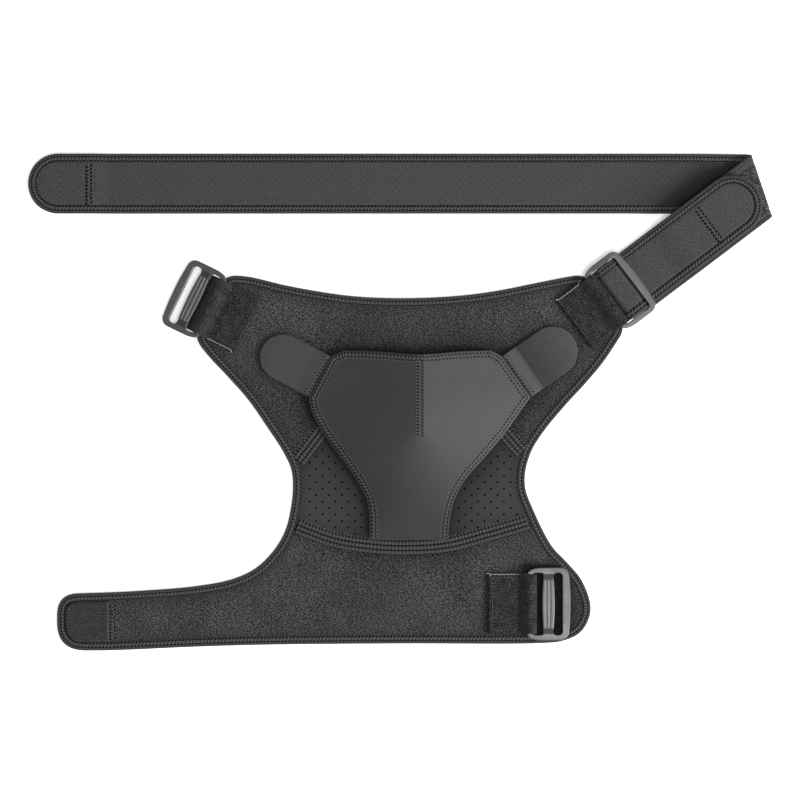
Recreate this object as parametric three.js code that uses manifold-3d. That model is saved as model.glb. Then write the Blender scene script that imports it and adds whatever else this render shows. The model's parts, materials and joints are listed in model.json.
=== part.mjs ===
// Shoulder brace laid flat with its outer face up: a neoprene body with an arm cuff,
// a domed shield with two tabs, three slide buckles on sewn webbing and a chest strap.
// Millimetres, +Z up. The origin is under the middle of the whole brace.
import * as THREE from 'three';
import { mergeVertices } from 'three/addons/utils/BufferGeometryUtils.js';
import Module from 'manifold-3d';

const wasm = await Module();
wasm.setup();

// Body
const bodyWidth = 484; // tip of the cuff's tongue to the right shoulder corner
const bodyHeight = 320; // cuff hem to the shoulder tops
const fabricThick = 3; // neoprene of the body panels
const shoulderCut = 12; // how far a shoulder corner is rounded along each side
const tongueTopCut = 18;
const tongueHemCut = 24;
const touchGap = 0.3; // left between two pieces that lie on each other
const outlineTolerance = 0.35; // how far a chord may leave the curve

// Folded edge tape
const bindingWidth = 7.5;
const bindingThick = 0.6;

// Ventilated insert
const holeRadius = 0.7;
const holePitchX = 11;
const holePitchY = 5.5;
const holeMargin = 4; // from a hole's middle to the seams, the tape and the shield
const holeSides = 5;

// Shield
const shieldHalfWidth = 94;
const shieldHeight = 161;
const shieldThick = 2.5;
const shieldRise = 8; // height of its dome
const shieldLift = 1.2; // its free edges over the body
const shieldFoot = 6.5; // from the cuff seam up to its sewn end
const dartDepth = 0.8;
const tabThick = 2;
const leftTabLength = 55;
const rightTabLength = 59;
const tabDrop = 14; // stretch in which a tab comes down to the yoke

// Webbing
const webbingWidth = 50.5;
const webbingThick = 1.2;
const shoulderWebbing = 32; // sewn end to the buckle's bar
const cuffWebbing = 34.4;
const loopSlope = 8; // stretch in which the two layers part round the bar

// Slide buckles, sizes across the slots
const buckleThick = 4;
const tapeBar = 5; // the bar in the webbing's loop
const centreBar = 10.3;
const freeBar = 5.8;
const tapeSlotPlay = 2.8;
const freeSlotPlay = 3.9;
const slotEndPlay = 0.7;
const sideFrame = 4.55;
const barWaist = 0.9; // how much the centre bar narrows on each side at its ends
const buckleCorner = 6.5;
const tapeCorner = 5; // how far the outline draws in beside the webbing
const buckleBevel = 0.8;
const grooveDepth = 0.5;
const grooveWidth = 1;
const barInset = 2.2; // from the shoulder's edge back to the bar
const cuffBarPlace = { x: 0.829, y: 0.125 }; // shares of the body's width and height

// Chest strap
const strapWidth = 51;
const strapThick = 3;
const strapLongLeg = 618; // round end to the diagonal fold
const foldReach = 149.5; // buckle's centre bar to the fold
const foldRadius = 2.4; // of the strap's middle in the fold
const returnLength = 144; // centre bar to the turned-back round end
const stackGap = 0.5; // between the strap's two layers under the free bar
const slotTurn = 70; // degrees by which the strap dives through the free slot
const legDropStart = 86; // from the fold, where the upper leg leaves the long leg
const legDropLength = 26;
const bendSteps = 4; // facets in each of the strap's bends
const foldSteps = 6;

// Hook patches
const patchThick = 1.2;
const strapPatchLength = 50; // from the strap's round end
const cuffPatchLength = 44; // from the tongue's tip

const radians = Math.PI / 180;
const bodyTop = fabricThick;
const onBody = bodyTop + touchGap;
const coreInset = bindingWidth + touchGap;
const edgeInset = bindingThick + touchGap;
const strapHalf = strapWidth / 2;
const loopInner = Math.hypot(tapeBar / 2, buckleThick / 2 - buckleBevel) + touchGap;
const loopOuter = loopInner + webbingThick;

// Body outline, counter-clockwise, as shares of the body's width and height.
const hemRows = [
  { x: 0, y: 0 },
  { x: 0.09, y: 0 },
  { x: 0.25, y: 0.01 },
  { x: 0.37, y: 0.015 },
  { x: 0.6, y: 0.018 },
  { x: 0.847, y: 0.019 },
  { x: 0.887, y: 0.025 },
  { x: 0.917, y: 0.046 },
  { x: 0.933, y: 0.083 },
  { x: 0.936, y: 0.123 },
  { x: 0.92, y: 0.188 },
  { x: 0.893, y: 0.237 },
  { x: 0.868, y: 0.278 },
  { x: 0.833, y: 0.383 },
  { x: 0.822, y: 0.43 },
  { x: 0.822, y: 0.475 },
  { x: 0.833, y: 0.53 },
  { x: 0.854, y: 0.581 },
  { x: 0.89, y: 0.647 },
  { x: 0.927, y: 0.708 },
  { x: 0.958, y: 0.764 },
  { x: 1, y: 0.86 },
];
const necklineRows = [
  { x: 0.93, y: 1 },
  { x: 0.887, y: 0.989 },
  { x: 0.837, y: 0.974 },
  { x: 0.77, y: 0.954 },
  { x: 0.702, y: 0.941 },
  { x: 0.613, y: 0.935 },
  { x: 0.529, y: 0.939 },
  { x: 0.474, y: 0.949 },
  { x: 0.404, y: 0.968 },
  { x: 0.335, y: 0.992 },
  { x: 0.292, y: 0.996 },
];
const leftSideRows = [
  { x: 0.239, y: 0.832 },
  { x: 0.266, y: 0.781 },
  { x: 0.3, y: 0.726 },
  { x: 0.335, y: 0.666 },
  { x: 0.37, y: 0.59 },
  { x: 0.397, y: 0.527 },
  { x: 0.411, y: 0.48 },
  { x: 0.414, y: 0.433 },
  { x: 0.41, y: 0.375 },
  { x: 0.401, y: 0.32 },
  { x: 0.383, y: 0.271 },
  { x: 0.351, y: 0.221 },
  { x: 0.311, y: 0.191 },
  { x: 0.25, y: 0.172 },
  { x: 0.13, y: 0.157 },
  { x: 0, y: 0.15 },
];

// Seams between the panels, left to right, with both ends past the body's edge.
const ventSeamRows = [
  { x: 0.39, y: 0.435 },
  { x: 0.42, y: 0.494 },
  { x: 0.465, y: 0.582 },
  { x: 0.504, y: 0.656 },
  { x: 0.551, y: 0.701 },
  { x: 0.618, y: 0.717 },
  { x: 0.688, y: 0.701 },
  { x: 0.741, y: 0.656 },
  { x: 0.788, y: 0.571 },
  { x: 0.818, y: 0.52 },
  { x: 0.846, y: 0.473 },
];
const cuffSeamRows = [
  { x: 0.372, y: 0.353 },
  { x: 0.42, y: 0.328 },
  { x: 0.486, y: 0.292 },
  { x: 0.553, y: 0.276 },
  { x: 0.619, y: 0.272 },
  { x: 0.686, y: 0.28 },
  { x: 0.747, y: 0.304 },
  { x: 0.828, y: 0.34 },
  { x: 0.881, y: 0.369 },
];

// Shield, a row for each section from its sewn end up: y is a share of its height,
// left and right of its half width, rise of its dome and lift of its edges' height.
const shieldRows = [
  { y: 0, left: 0.456, right: 0.258, rise: 0, lift: 0 },
  { y: 0.119, left: 0.456, right: 0.275, rise: 0.25, lift: 0.35 },
  { y: 0.219, left: 0.485, right: 0.32, rise: 0.45, lift: 0.6 },
  { y: 0.309, left: 0.564, right: 0.4, rise: 0.64, lift: 0.8 },
  { y: 0.443, left: 0.724, right: 0.597, rise: 0.88, lift: 1 },
  { y: 0.578, left: 0.885, right: 0.787, rise: 1, lift: 1 },
  { y: 0.689, left: 0.981, right: 0.92, rise: 0.98, lift: 1 },
  { y: 0.753, left: 1, right: 1, rise: 0.93, lift: 1 },
  { y: 0.86, left: 0.902, right: 0.87, rise: 0.8, lift: 1 },
  { y: 0.97, left: 0.804, right: 0.741, rise: 0.6, lift: 1 },
  { y: 1, left: 0.69, right: 0.64, rise: 0.52, lift: 1 },
];
const shieldColumns = [0, 0.07, 0.15, 0.24, 0.33, 0.41, 0.47, 0.5, 0.53, 0.59, 0.67, 0.76, 0.85, 0.93, 1];
const shieldMiddle = 0.636; // share of the body's width
const dartEnd = 0.578; // share of the shield's height where the dart runs out
const tabSeamLow = 7; // rows of the shield between which the tabs are sewn on
const tabSeamHigh = 9;

// Plane curves

function bodyPoint(row) {
  return new THREE.Vector2(row.x * bodyWidth, row.y * bodyHeight);
}

// A smooth run through the rows of a table.
function smoothRun(rows, stepsPerRow = 8) {
  const points = rows.map((row) => {
    const p = bodyPoint(row);
    return new THREE.Vector3(p.x, p.y, 0);
  });
  const curve = new THREE.CatmullRomCurve3(points, false, 'centripetal');
  const steps = (rows.length - 1) * stepsPerRow;
  return curve.getSpacedPoints(steps).map((p) => new THREE.Vector2(p.x, p.y));
}

// The run without its first and last stretch.
function trimmed(run, startCut, endCut) {
  const lengths = [0];
  for (let i = 1; i < run.length; i += 1) {
    lengths.push(lengths[i - 1] + run[i].distanceTo(run[i - 1]));
  }
  const total = lengths[run.length - 1];
  const at = (length) => {
    const i = Math.max(1, lengths.findIndex((l) => l >= length));
    const share = (length - lengths[i - 1]) / (lengths[i] - lengths[i - 1]);
    return run[i - 1].clone().lerp(run[i], share);
  };
  const inner = run.filter((p, i) => lengths[i] > startCut && lengths[i] < total - endCut);
  return [at(startCut), ...inner, at(total - endCut)];
}

// A closed outline from runs that meet at corners, each corner rounded by a parabola.
function joinRuns(runs, cuts) {
  const count = runs.length;
  const outline = [];
  runs.forEach((run, i) => {
    const next = runs[(i + 1) % count];
    const corner = run[run.length - 1];
    const part = trimmed(run, cuts[(i + count - 1) % count], cuts[i]);
    const start = trimmed(next, cuts[i], cuts[(i + 1) % count])[0];
    outline.push(...part);
    const bend = new THREE.QuadraticBezierCurve(part[part.length - 1], corner, start);
    outline.push(...bend.getPoints(8).slice(1, -1));
  });
  return outline;
}

// Drops points while the chord stays within the tolerance of those left out.
function thinned(points, tolerance) {
  const kept = [points[0]];
  let anchor = 0;
  for (let i = 2; i < points.length; i += 1) {
    const chord = new THREE.Line3(
      new THREE.Vector3(points[anchor].x, points[anchor].y, 0),
      new THREE.Vector3(points[i].x, points[i].y, 0),
    );
    const off = points.slice(anchor + 1, i).some((p) => {
      const q = new THREE.Vector3(p.x, p.y, 0);
      return chord.closestPointToPoint(q, true, new THREE.Vector3()).distanceTo(q) > tolerance;
    });
    if (off) {
      anchor = i - 1;
      kept.push(points[anchor]);
    }
  }
  kept.push(points[points.length - 1]);
  return kept;
}

// Each point moved to the left of its direction by the distance, with mitred corners.
function offset(points, distance, closed = true) {
  const count = points.length;
  return points.map((p, i) => {
    const before = closed || i > 0 ? points[(i + count - 1) % count] : p;
    const after = closed || i < count - 1 ? points[(i + 1) % count] : p;
    const inward = p.clone().sub(before).normalize();
    const outward = after.clone().sub(p).normalize();
    const first = inward.lengthSq() > 0 ? inward : outward;
    const last = outward.lengthSq() > 0 ? outward : inward;
    const along = first.clone().add(last).normalize();
    const scale = distance / Math.max(0.5, along.dot(first));
    return new THREE.Vector2(p.x - along.y * scale, p.y + along.x * scale);
  });
}

function isInside(outline, p) {
  let inside = false;
  outline.forEach((a, i) => {
    const b = outline[(i + outline.length - 1) % outline.length];
    const crosses = a.y > p.y !== b.y > p.y;
    if (crosses && p.x < ((b.x - a.x) * (p.y - a.y)) / (b.y - a.y) + a.x) inside = !inside;
  });
  return inside;
}

// Height of a left-to-right run at x.
function runHeight(run, x) {
  const i = Math.max(1, run.findIndex((p) => p.x >= x));
  const share = (x - run[i - 1].x) / (run[i].x - run[i - 1].x);
  return run[i - 1].y + share * (run[i].y - run[i - 1].y);
}

function smoothStep(share) {
  const t = Math.min(1, Math.max(0, share));
  return t * t * (3 - 2 * t);
}

// Solids

function slab(outline, bottom, thick) {
  const geometry = new THREE.ExtrudeGeometry(new THREE.Shape(outline), {
    depth: thick,
    bevelEnabled: false,
  });
  return geometry.translate(0, 0, bottom);
}

function toSolid(geometry) {
  const bare = geometry.clone();
  bare.deleteAttribute('normal');
  bare.deleteAttribute('uv');
  const merged = mergeVertices(bare, 1e-4);
  return new wasm.Manifold(new wasm.Mesh({
    numProp: 3,
    vertProperties: new Float32Array(merged.attributes.position.array),
    triVerts: new Uint32Array(merged.index.array),
  }));
}

function toGeometry(solid) {
  const data = solid.getMesh();
  const geometry = new THREE.BufferGeometry();
  geometry.setAttribute('position', new THREE.BufferAttribute(data.vertProperties, 3));
  geometry.setIndex(new THREE.BufferAttribute(data.triVerts, 1));
  return geometry;
}

// Skin over a row of equal rings of points. Open rows get a fan at each end.
function loft(rings, closed = false) {
  const sides = rings[0].length;
  const count = rings.length;
  const index = [];
  const spans = closed ? count : count - 1;
  for (let r = 0; r < spans; r += 1) {
    for (let k = 0; k < sides; k += 1) {
      const a = r * sides + k;
      const b = r * sides + ((k + 1) % sides);
      const c = ((r + 1) % count) * sides + k;
      const d = ((r + 1) % count) * sides + ((k + 1) % sides);
      index.push(a, b, d, a, d, c);
    }
  }
  if (!closed) {
    const last = (count - 1) * sides;
    for (let k = 1; k < sides - 1; k += 1) {
      index.push(0, k + 1, k, last, last + k, last + k + 1);
    }
  }
  const geometry = new THREE.BufferGeometry();
  const flat = rings.flat().flatMap((p) => [p.x, p.y, p.z]);
  geometry.setAttribute('position', new THREE.Float32BufferAttribute(flat, 3));
  geometry.setIndex(index);
  return facingOut(geometry);
}

// Turns the faces over if the enclosed volume comes out negative.
function facingOut(geometry) {
  const position = geometry.attributes.position;
  const index = geometry.index.array;
  const corner = (i) => new THREE.Vector3().fromBufferAttribute(position, index[i]);
  let volume = 0;
  for (let i = 0; i < index.length; i += 3) {
    volume += corner(i).dot(corner(i + 1).cross(corner(i + 2)));
  }
  if (volume < 0) index.reverse();
  return geometry;
}

// Node makers

const colours = {
  fabric: 0x3c3a3d,
  vent: 0x343235,
  tape: 0x2d2c2e,
  shield: 0x464547,
  tab: 0x4c4b4d,
  webbing: 0x333234,
  plastic: 0x4b4a4d,
  strap: 0x424043,
  hook: 0x39383a,
};

function mesh(name, geometry, finish, roughness = 0.9) {
  const material = new THREE.MeshStandardMaterial({
    color: colours[finish],
    roughness,
    metalness: 0,
  });
  geometry.computeVertexNormals();
  const made = new THREE.Mesh(geometry, material);
  made.name = name;
  return made;
}

// Body panels

const bodyOutline = (() => {
  const hem = smoothRun(hemRows);
  const neckline = smoothRun(necklineRows);
  const leftSide = smoothRun(leftSideRows);
  const rightEnd = [hem[hem.length - 1], neckline[0]];
  const leftEnd = [neckline[neckline.length - 1], leftSide[0]];
  const tongueEnd = [leftSide[leftSide.length - 1], hem[0]];
  const runs = [hem, rightEnd, neckline, leftEnd, leftSide, tongueEnd];
  const cuts = [shoulderCut, shoulderCut, shoulderCut, shoulderCut, tongueTopCut, tongueHemCut];
  return thinned(joinRuns(runs, cuts), outlineTolerance);
})();
const ventSeam = thinned(smoothRun(ventSeamRows), outlineTolerance);
const cuffSeam = thinned(smoothRun(cuffSeamRows), outlineTolerance);

// The whole body: full thickness inside the tape, thinner where the tape grips it.
function bodyBlank() {
  const core = slab(offset(bodyOutline, coreInset), 0, fabricThick);
  const gripBottom = bindingThick + touchGap;
  const grip = slab(offset(bodyOutline, edgeInset), gripBottom, fabricThick - 2 * gripBottom);
  return toSolid(core).add(toSolid(grip));
}

// Everything above or below a seam, out past the body on the other sides.
function seamRegion(seam, side) {
  const reach = side > 0 ? 2 * bodyHeight : -bodyHeight;
  const line = offset(seam, (side * touchGap) / 2, false);
  const first = line[0];
  const last = line[line.length - 1];
  const outline = [
    ...line,
    new THREE.Vector2(2 * bodyWidth, last.y),
    new THREE.Vector2(2 * bodyWidth, reach),
    new THREE.Vector2(-bodyWidth, reach),
    new THREE.Vector2(-bodyWidth, first.y),
  ];
  return toSolid(slab(outline, -fabricThick, 3 * fabricThick));
}

function holePlaces() {
  const body = offset(bodyOutline, coreInset + holeMargin);
  const shieldEdge = offset(shieldOutline(), -holeMargin);
  const places = [];
  const columns = Math.ceil(bodyWidth / holePitchX);
  const rows = Math.ceil(bodyHeight / holePitchY);
  for (let row = 0; row < rows; row += 1) {
    for (let column = 0; column < columns; column += 1) {
      const x = (column + (row % 2) / 2) * holePitchX;
      const p = new THREE.Vector2(x, row * holePitchY);
      const overVent = x > cuffSeam[0].x && x < ventSeam[ventSeam.length - 1].x;
      if (!overVent || !isInside(body, p) || isInside(shieldEdge, p)) continue;
      const underTop = runHeight(ventSeam, x) - p.y > 1.6 * holeMargin;
      const overCuff = p.y - runHeight(cuffSeam, x) > 1.6 * holeMargin;
      if (underTop && overCuff) places.push(p);
    }
  }
  return places;
}

function yokePanel() {
  const solid = bodyBlank().intersect(seamRegion(ventSeam, 1));
  return mesh('yoke_panel', toGeometry(solid), 'fabric');
}

function ventPanel() {
  let solid = bodyBlank().intersect(seamRegion(ventSeam, -1)).intersect(seamRegion(cuffSeam, 1));
  const drills = holePlaces().map((p) => {
    const drill = new THREE.CylinderGeometry(holeRadius, holeRadius, 3 * fabricThick, holeSides);
    return toSolid(drill.rotateX(90 * radians).translate(p.x, p.y, fabricThick / 2));
  });
  solid = solid.subtract(wasm.Manifold.union(drills));
  return mesh('vent_panel', toGeometry(solid), 'vent');
}

function cuffPanel() {
  const solid = bodyBlank().intersect(seamRegion(cuffSeam, -1));
  return mesh('cuff_panel', toGeometry(solid), 'fabric');
}

// Section of the folded tape: inset from the edge, height from the fabric's middle.
function tapeSection(thick) {
  const half = thick / 2;
  const inner = half - bindingThick;
  return [
    [0, -half],
    [bindingWidth, -half],
    [bindingWidth, -inner],
    [bindingThick, -inner],
    [bindingThick, inner],
    [bindingWidth, inner],
    [bindingWidth, half],
    [0, half],
  ];
}

function bodyBinding() {
  const section = tapeSection(fabricThick);
  const lines = section.map(([inset]) => offset(bodyOutline, inset));
  const rings = bodyOutline.map((_, i) => section.map(([, height], k) => (
    new THREE.Vector3(lines[k][i].x, lines[k][i].y, fabricThick / 2 + height)
  )));
  return mesh('body_binding', loft(rings, true), 'tape');
}

// Shield

function shieldRowEnds(row) {
  const middle = shieldMiddle * bodyWidth;
  const y = runHeight(cuffSeam, middle) + shieldFoot + row.y * shieldHeight;
  return {
    left: new THREE.Vector2(middle - row.left * shieldHalfWidth, y),
    right: new THREE.Vector2(middle + row.right * shieldHalfWidth, y),
  };
}

function shieldOutline() {
  const ends = shieldRows.map(shieldRowEnds);
  const up = ends.map((end) => end.right);
  const down = ends.map((end) => end.left).reverse();
  return [...up, ...down];
}

// Underside of the shield: edges lifted, a parabola across, and the dart pressed in.
function shieldUnder(row, share) {
  const across = 1 - (2 * share - 1) ** 2;
  const dart = share === 0.5 ? smoothStep((row.y - dartEnd) / (1 - dartEnd) + 0.3) : 0;
  const inDart = row.y > dartEnd ? dart * dartDepth : 0;
  return onBody + row.lift * shieldLift + row.rise * shieldRise * across - inDart;
}

function shield() {
  const grid = (height) => shieldRows.map((row) => {
    const ends = shieldRowEnds(row);
    return shieldColumns.map((share) => {
      const p = ends.left.clone().lerp(ends.right, share);
      return new THREE.Vector3(p.x, p.y, shieldUnder(row, share) + height);
    });
  });
  const under = grid(0);
  const over = grid(shieldThick);
  const rings = under.map((row, i) => [...row, ...over[i].slice().reverse()]);
  return mesh('shield', gridSolid(rings), 'shield', 0.7);
}

// Rings of flat sections, whose end caps are strips between the under and upper halves.
function gridSolid(rings) {
  const sides = rings[0].length;
  const half = sides / 2;
  const geometry = loft(rings);
  const index = Array.from(geometry.index.array);
  const sideTriangles = (rings.length - 1) * sides * 2;
  const turned = index[0] !== 0;
  const skin = turned ? index.slice(index.length - sideTriangles * 3) : index.slice(0, sideTriangles * 3);
  const cap = (first, flip) => {
    const faces = [];
    for (let k = 0; k < half - 1; k += 1) {
      const a = first + k;
      const b = first + k + 1;
      const c = first + sides - 2 - k;
      const d = first + sides - 1 - k;
      faces.push(...(flip ? [a, c, b, a, d, c] : [a, b, c, a, c, d]));
    }
    return faces;
  };
  const last = (rings.length - 1) * sides;
  geometry.setIndex([...skin, ...cap(0, !turned), ...cap(last, turned)]);
  return facingOut(geometry);
}

// A tab starts at the shield's seam, comes down to the yoke and ends in a half circle.
function shieldTab(name, side, length) {
  const low = shieldRowEnds(shieldRows[tabSeamLow])[side];
  const high = shieldRowEnds(shieldRows[tabSeamHigh])[side];
  const middle = low.clone().lerp(high, 0.5);
  const radius = low.distanceTo(high) / 2;
  const seam = high.clone().sub(low).normalize();
  const away = side === 'left' ? new THREE.Vector2(-seam.y, seam.x) : new THREE.Vector2(seam.y, -seam.x);
  const stations = [0, 0.25, 0.5, 0.75, 1].map((share) => ({ at: touchGap + share * tabDrop, half: radius }));
  for (let angle = 0; angle <= 80; angle += 16) {
    const at = length - radius + radius * Math.sin(angle * radians);
    stations.push({ at, half: radius * Math.cos(angle * radians) });
  }
  const rings = stations.map(({ at, half }) => {
    const z = onBody + shieldLift * (1 - smoothStep((at - touchGap) / tabDrop));
    const corner = (across, height) => {
      const p = middle.clone().addScaledVector(away, at).addScaledVector(seam, across);
      return new THREE.Vector3(p.x, p.y, z + height);
    };
    return [corner(-half, 0), corner(half, 0), corner(half, tabThick), corner(-half, tabThick)];
  });
  return mesh(name, loft(rings), 'tab', 0.75);
}

// Slide buckles. Their own x runs from the webbing's bar to the free bar.

const tapeSlot = loopOuter - tapeBar / 2 + tapeSlotPlay + strapThick + touchGap;
const freeSlot = strapThick + freeSlotPlay;
const centreStart = tapeBar / 2 + tapeSlot;
const centreEnd = centreStart + centreBar;
const freeStart = centreEnd + freeSlot;
const freeEnd = freeStart + freeBar;
const slotHalf = Math.max(strapWidth, webbingWidth) / 2 + slotEndPlay;
const buckleHalf = slotHalf + sideFrame;

function buckleOutline() {
  const shape = new THREE.Shape();
  const back = -tapeBar / 2;
  const waist = buckleHalf - tapeCorner;
  shape.moveTo(back, -waist);
  shape.quadraticCurveTo(back + tapeCorner * 0.4, -buckleHalf, centreStart, -buckleHalf);
  shape.lineTo(freeEnd - buckleCorner, -buckleHalf);
  shape.absarc(freeEnd - buckleCorner, -buckleHalf + buckleCorner, buckleCorner, -90 * radians, 0);
  shape.lineTo(freeEnd, buckleHalf - buckleCorner);
  shape.absarc(freeEnd - buckleCorner, buckleHalf - buckleCorner, buckleCorner, 0, 90 * radians);
  shape.lineTo(centreStart, buckleHalf);
  shape.quadraticCurveTo(back + tapeCorner * 0.4, buckleHalf, back, waist);
  return shape;
}

// A slot from start to end, whose side towards the centre bar bows by the waist.
function slotPath(start, end, bowAtStart) {
  const corner = Math.min(2.4, (end - start) * 0.4);
  const path = new THREE.Path();
  const low = bowAtStart ? start - barWaist : start;
  const high = bowAtStart ? end : end + barWaist;
  path.moveTo(low + corner, -slotHalf);
  path.quadraticCurveTo(low, -slotHalf, low, -slotHalf + corner);
  if (bowAtStart) path.quadraticCurveTo(start + barWaist, 0, low, slotHalf - corner);
  else path.lineTo(low, slotHalf - corner);
  path.quadraticCurveTo(low, slotHalf, low + corner, slotHalf);
  path.lineTo(high - corner, slotHalf);
  path.quadraticCurveTo(high, slotHalf, high, slotHalf - corner);
  if (bowAtStart) path.lineTo(high, -slotHalf + corner);
  else path.quadraticCurveTo(end - barWaist, 0, high, -slotHalf + corner);
  path.quadraticCurveTo(high, -slotHalf, high - corner, -slotHalf);
  return path;
}

// Where on the drawn frame a bevel of equal size and depth runs round every edge.
function buckleFrame() {
  const shape = buckleOutline();
  shape.holes.push(slotPath(tapeBar / 2, centreStart, false));
  shape.holes.push(slotPath(centreEnd, freeStart, true));
  const geometry = new THREE.ExtrudeGeometry(shape, {
    depth: buckleThick - 2 * buckleBevel,
    bevelThickness: buckleBevel,
    bevelSize: buckleBevel,
    bevelOffset: -buckleBevel,
    bevelSegments: 1,
    curveSegments: 4,
  });
  return geometry.translate(0, 0, buckleBevel - buckleThick / 2);
}

function buckle(name, place, heading, barHeight, tilt) {
  let solid = toSolid(buckleFrame());
  const middle = (centreStart + centreEnd) / 2;
  [-1, 0, 1].forEach((step) => {
    const groove = new THREE.BoxGeometry(grooveWidth, 1.7 * slotHalf, 2 * grooveDepth);
    groove.translate(middle + step * 2.4 * grooveWidth, 0, buckleThick / 2);
    solid = solid.subtract(toSolid(groove));
  });
  const frame = mesh(name, toGeometry(solid), 'plastic', 0.45);
  frame.rotation.y = tilt;
  const holder = new THREE.Group();
  holder.position.set(place.x, place.y, barHeight);
  holder.rotation.z = heading;
  holder.add(frame);
  return holder;
}

// Tilt at which the free bar's lower edge comes down to a height.
function restTilt(barHeight, restHeight) {
  const arm = Math.hypot(freeEnd, buckleThick / 2);
  return Math.asin((barHeight - restHeight) / arm) - Math.atan2(buckleThick / 2, freeEnd);
}

// Point where the tangent from a point outside touches the loop's circle.
function tangentAngle(from, centre, radius, side) {
  const to = centre.clone().sub(from);
  const spread = Math.acos(radius / to.length());
  return Math.atan2(-to.y, -to.x) + side * spread;
}

// Webbing sewn down in two layers that part into a loop round the buckle's bar.
function webbing(name, place, heading, length, barHeight) {
  const centre = new THREE.Vector2(0, barHeight);
  const under = new THREE.Vector2(-loopSlope, onBody);
  const over = new THREE.Vector2(-loopSlope - loopOuter * 0.3, onBody + 2 * webbingThick);
  const first = tangentAngle(under, centre, loopOuter, 1);
  const last = tangentAngle(over, centre, loopOuter, -1);
  const sweep = (last - first + 4 * Math.PI) % (2 * Math.PI);
  const outline = [new THREE.Vector2(-length, onBody), under];
  const steps = 14;
  for (let i = 0; i <= steps; i += 1) {
    const angle = first + (sweep * i) / steps;
    outline.push(new THREE.Vector2(
      loopOuter * Math.cos(angle),
      barHeight + loopOuter * Math.sin(angle),
    ));
  }
  outline.push(over, new THREE.Vector2(-length, onBody + 2 * webbingThick));
  const shape = new THREE.Shape(outline);
  const hole = new THREE.Path();
  hole.absarc(0, barHeight, loopInner, 0, 360 * radians);
  shape.holes.push(hole);
  const geometry = new THREE.ExtrudeGeometry(shape, {
    depth: webbingWidth,
    bevelEnabled: false,
    curveSegments: 8,
  });
  geometry.rotateX(90 * radians).translate(0, webbingWidth / 2, 0);
  const holder = new THREE.Group();
  holder.position.set(place.x, place.y, 0);
  holder.rotation.z = heading;
  holder.add(mesh(name, geometry, 'webbing'));
  return holder;
}

// Middle and outward heading of a shoulder's end, from its two corners.
function shoulderEnd(firstRow, lastRow) {
  const first = bodyPoint(firstRow);
  const last = bodyPoint(lastRow);
  const along = last.clone().sub(first).normalize();
  const outward = new THREE.Vector2(along.y, -along.x);
  const place = first.clone().lerp(last, 0.5).addScaledVector(outward, -barInset);
  return { place, heading: Math.atan2(outward.y, outward.x) };
}

const rightShoulder = shoulderEnd(hemRows[hemRows.length - 1], necklineRows[0]);
const leftShoulder = shoulderEnd(necklineRows[necklineRows.length - 1], leftSideRows[0]);
const cuffBar = { place: bodyPoint(cuffBarPlace), heading: 0 };
const lowBar = onBody + loopOuter;
const highBar = strapThick + stackGap + strapThick + touchGap + buckleThick / 2;

// Chest strap. s runs along it from the round end, w across it, h out of its smooth face.

const legHeading = rightShoulder.heading + 180 * radians;
const foldAngle = legHeading / 2;
const foldAlong = new THREE.Vector2(Math.cos(foldAngle), Math.sin(foldAngle));
const foldAway = new THREE.Vector2(Math.sin(foldAngle), -Math.cos(foldAngle));
const legAlong = new THREE.Vector2(Math.cos(legHeading), Math.sin(legHeading));
const legAcross = new THREE.Vector2(legAlong.y, -legAlong.x);
const foldSkew = foldAlong.x / foldAlong.y;
const foldShift = foldAway.clone().multiplyScalar(Math.PI * foldRadius);
const foldBack = (Math.PI - 1) * foldRadius * Math.abs(foldAway.dot(legAlong));
const legStart = rightShoulder.place.clone()
  .addScaledVector(legAlong, -((centreStart + centreEnd) / 2 + foldReach + foldBack));
const foldMiddle = legStart.clone().sub(foldShift);
const barFromStart = (centreStart + centreEnd) / 2 + foldReach + foldBack;
const longLegZ = strapThick / 2;
const upperLegZ = longLegZ + 2 * foldRadius;

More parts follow.
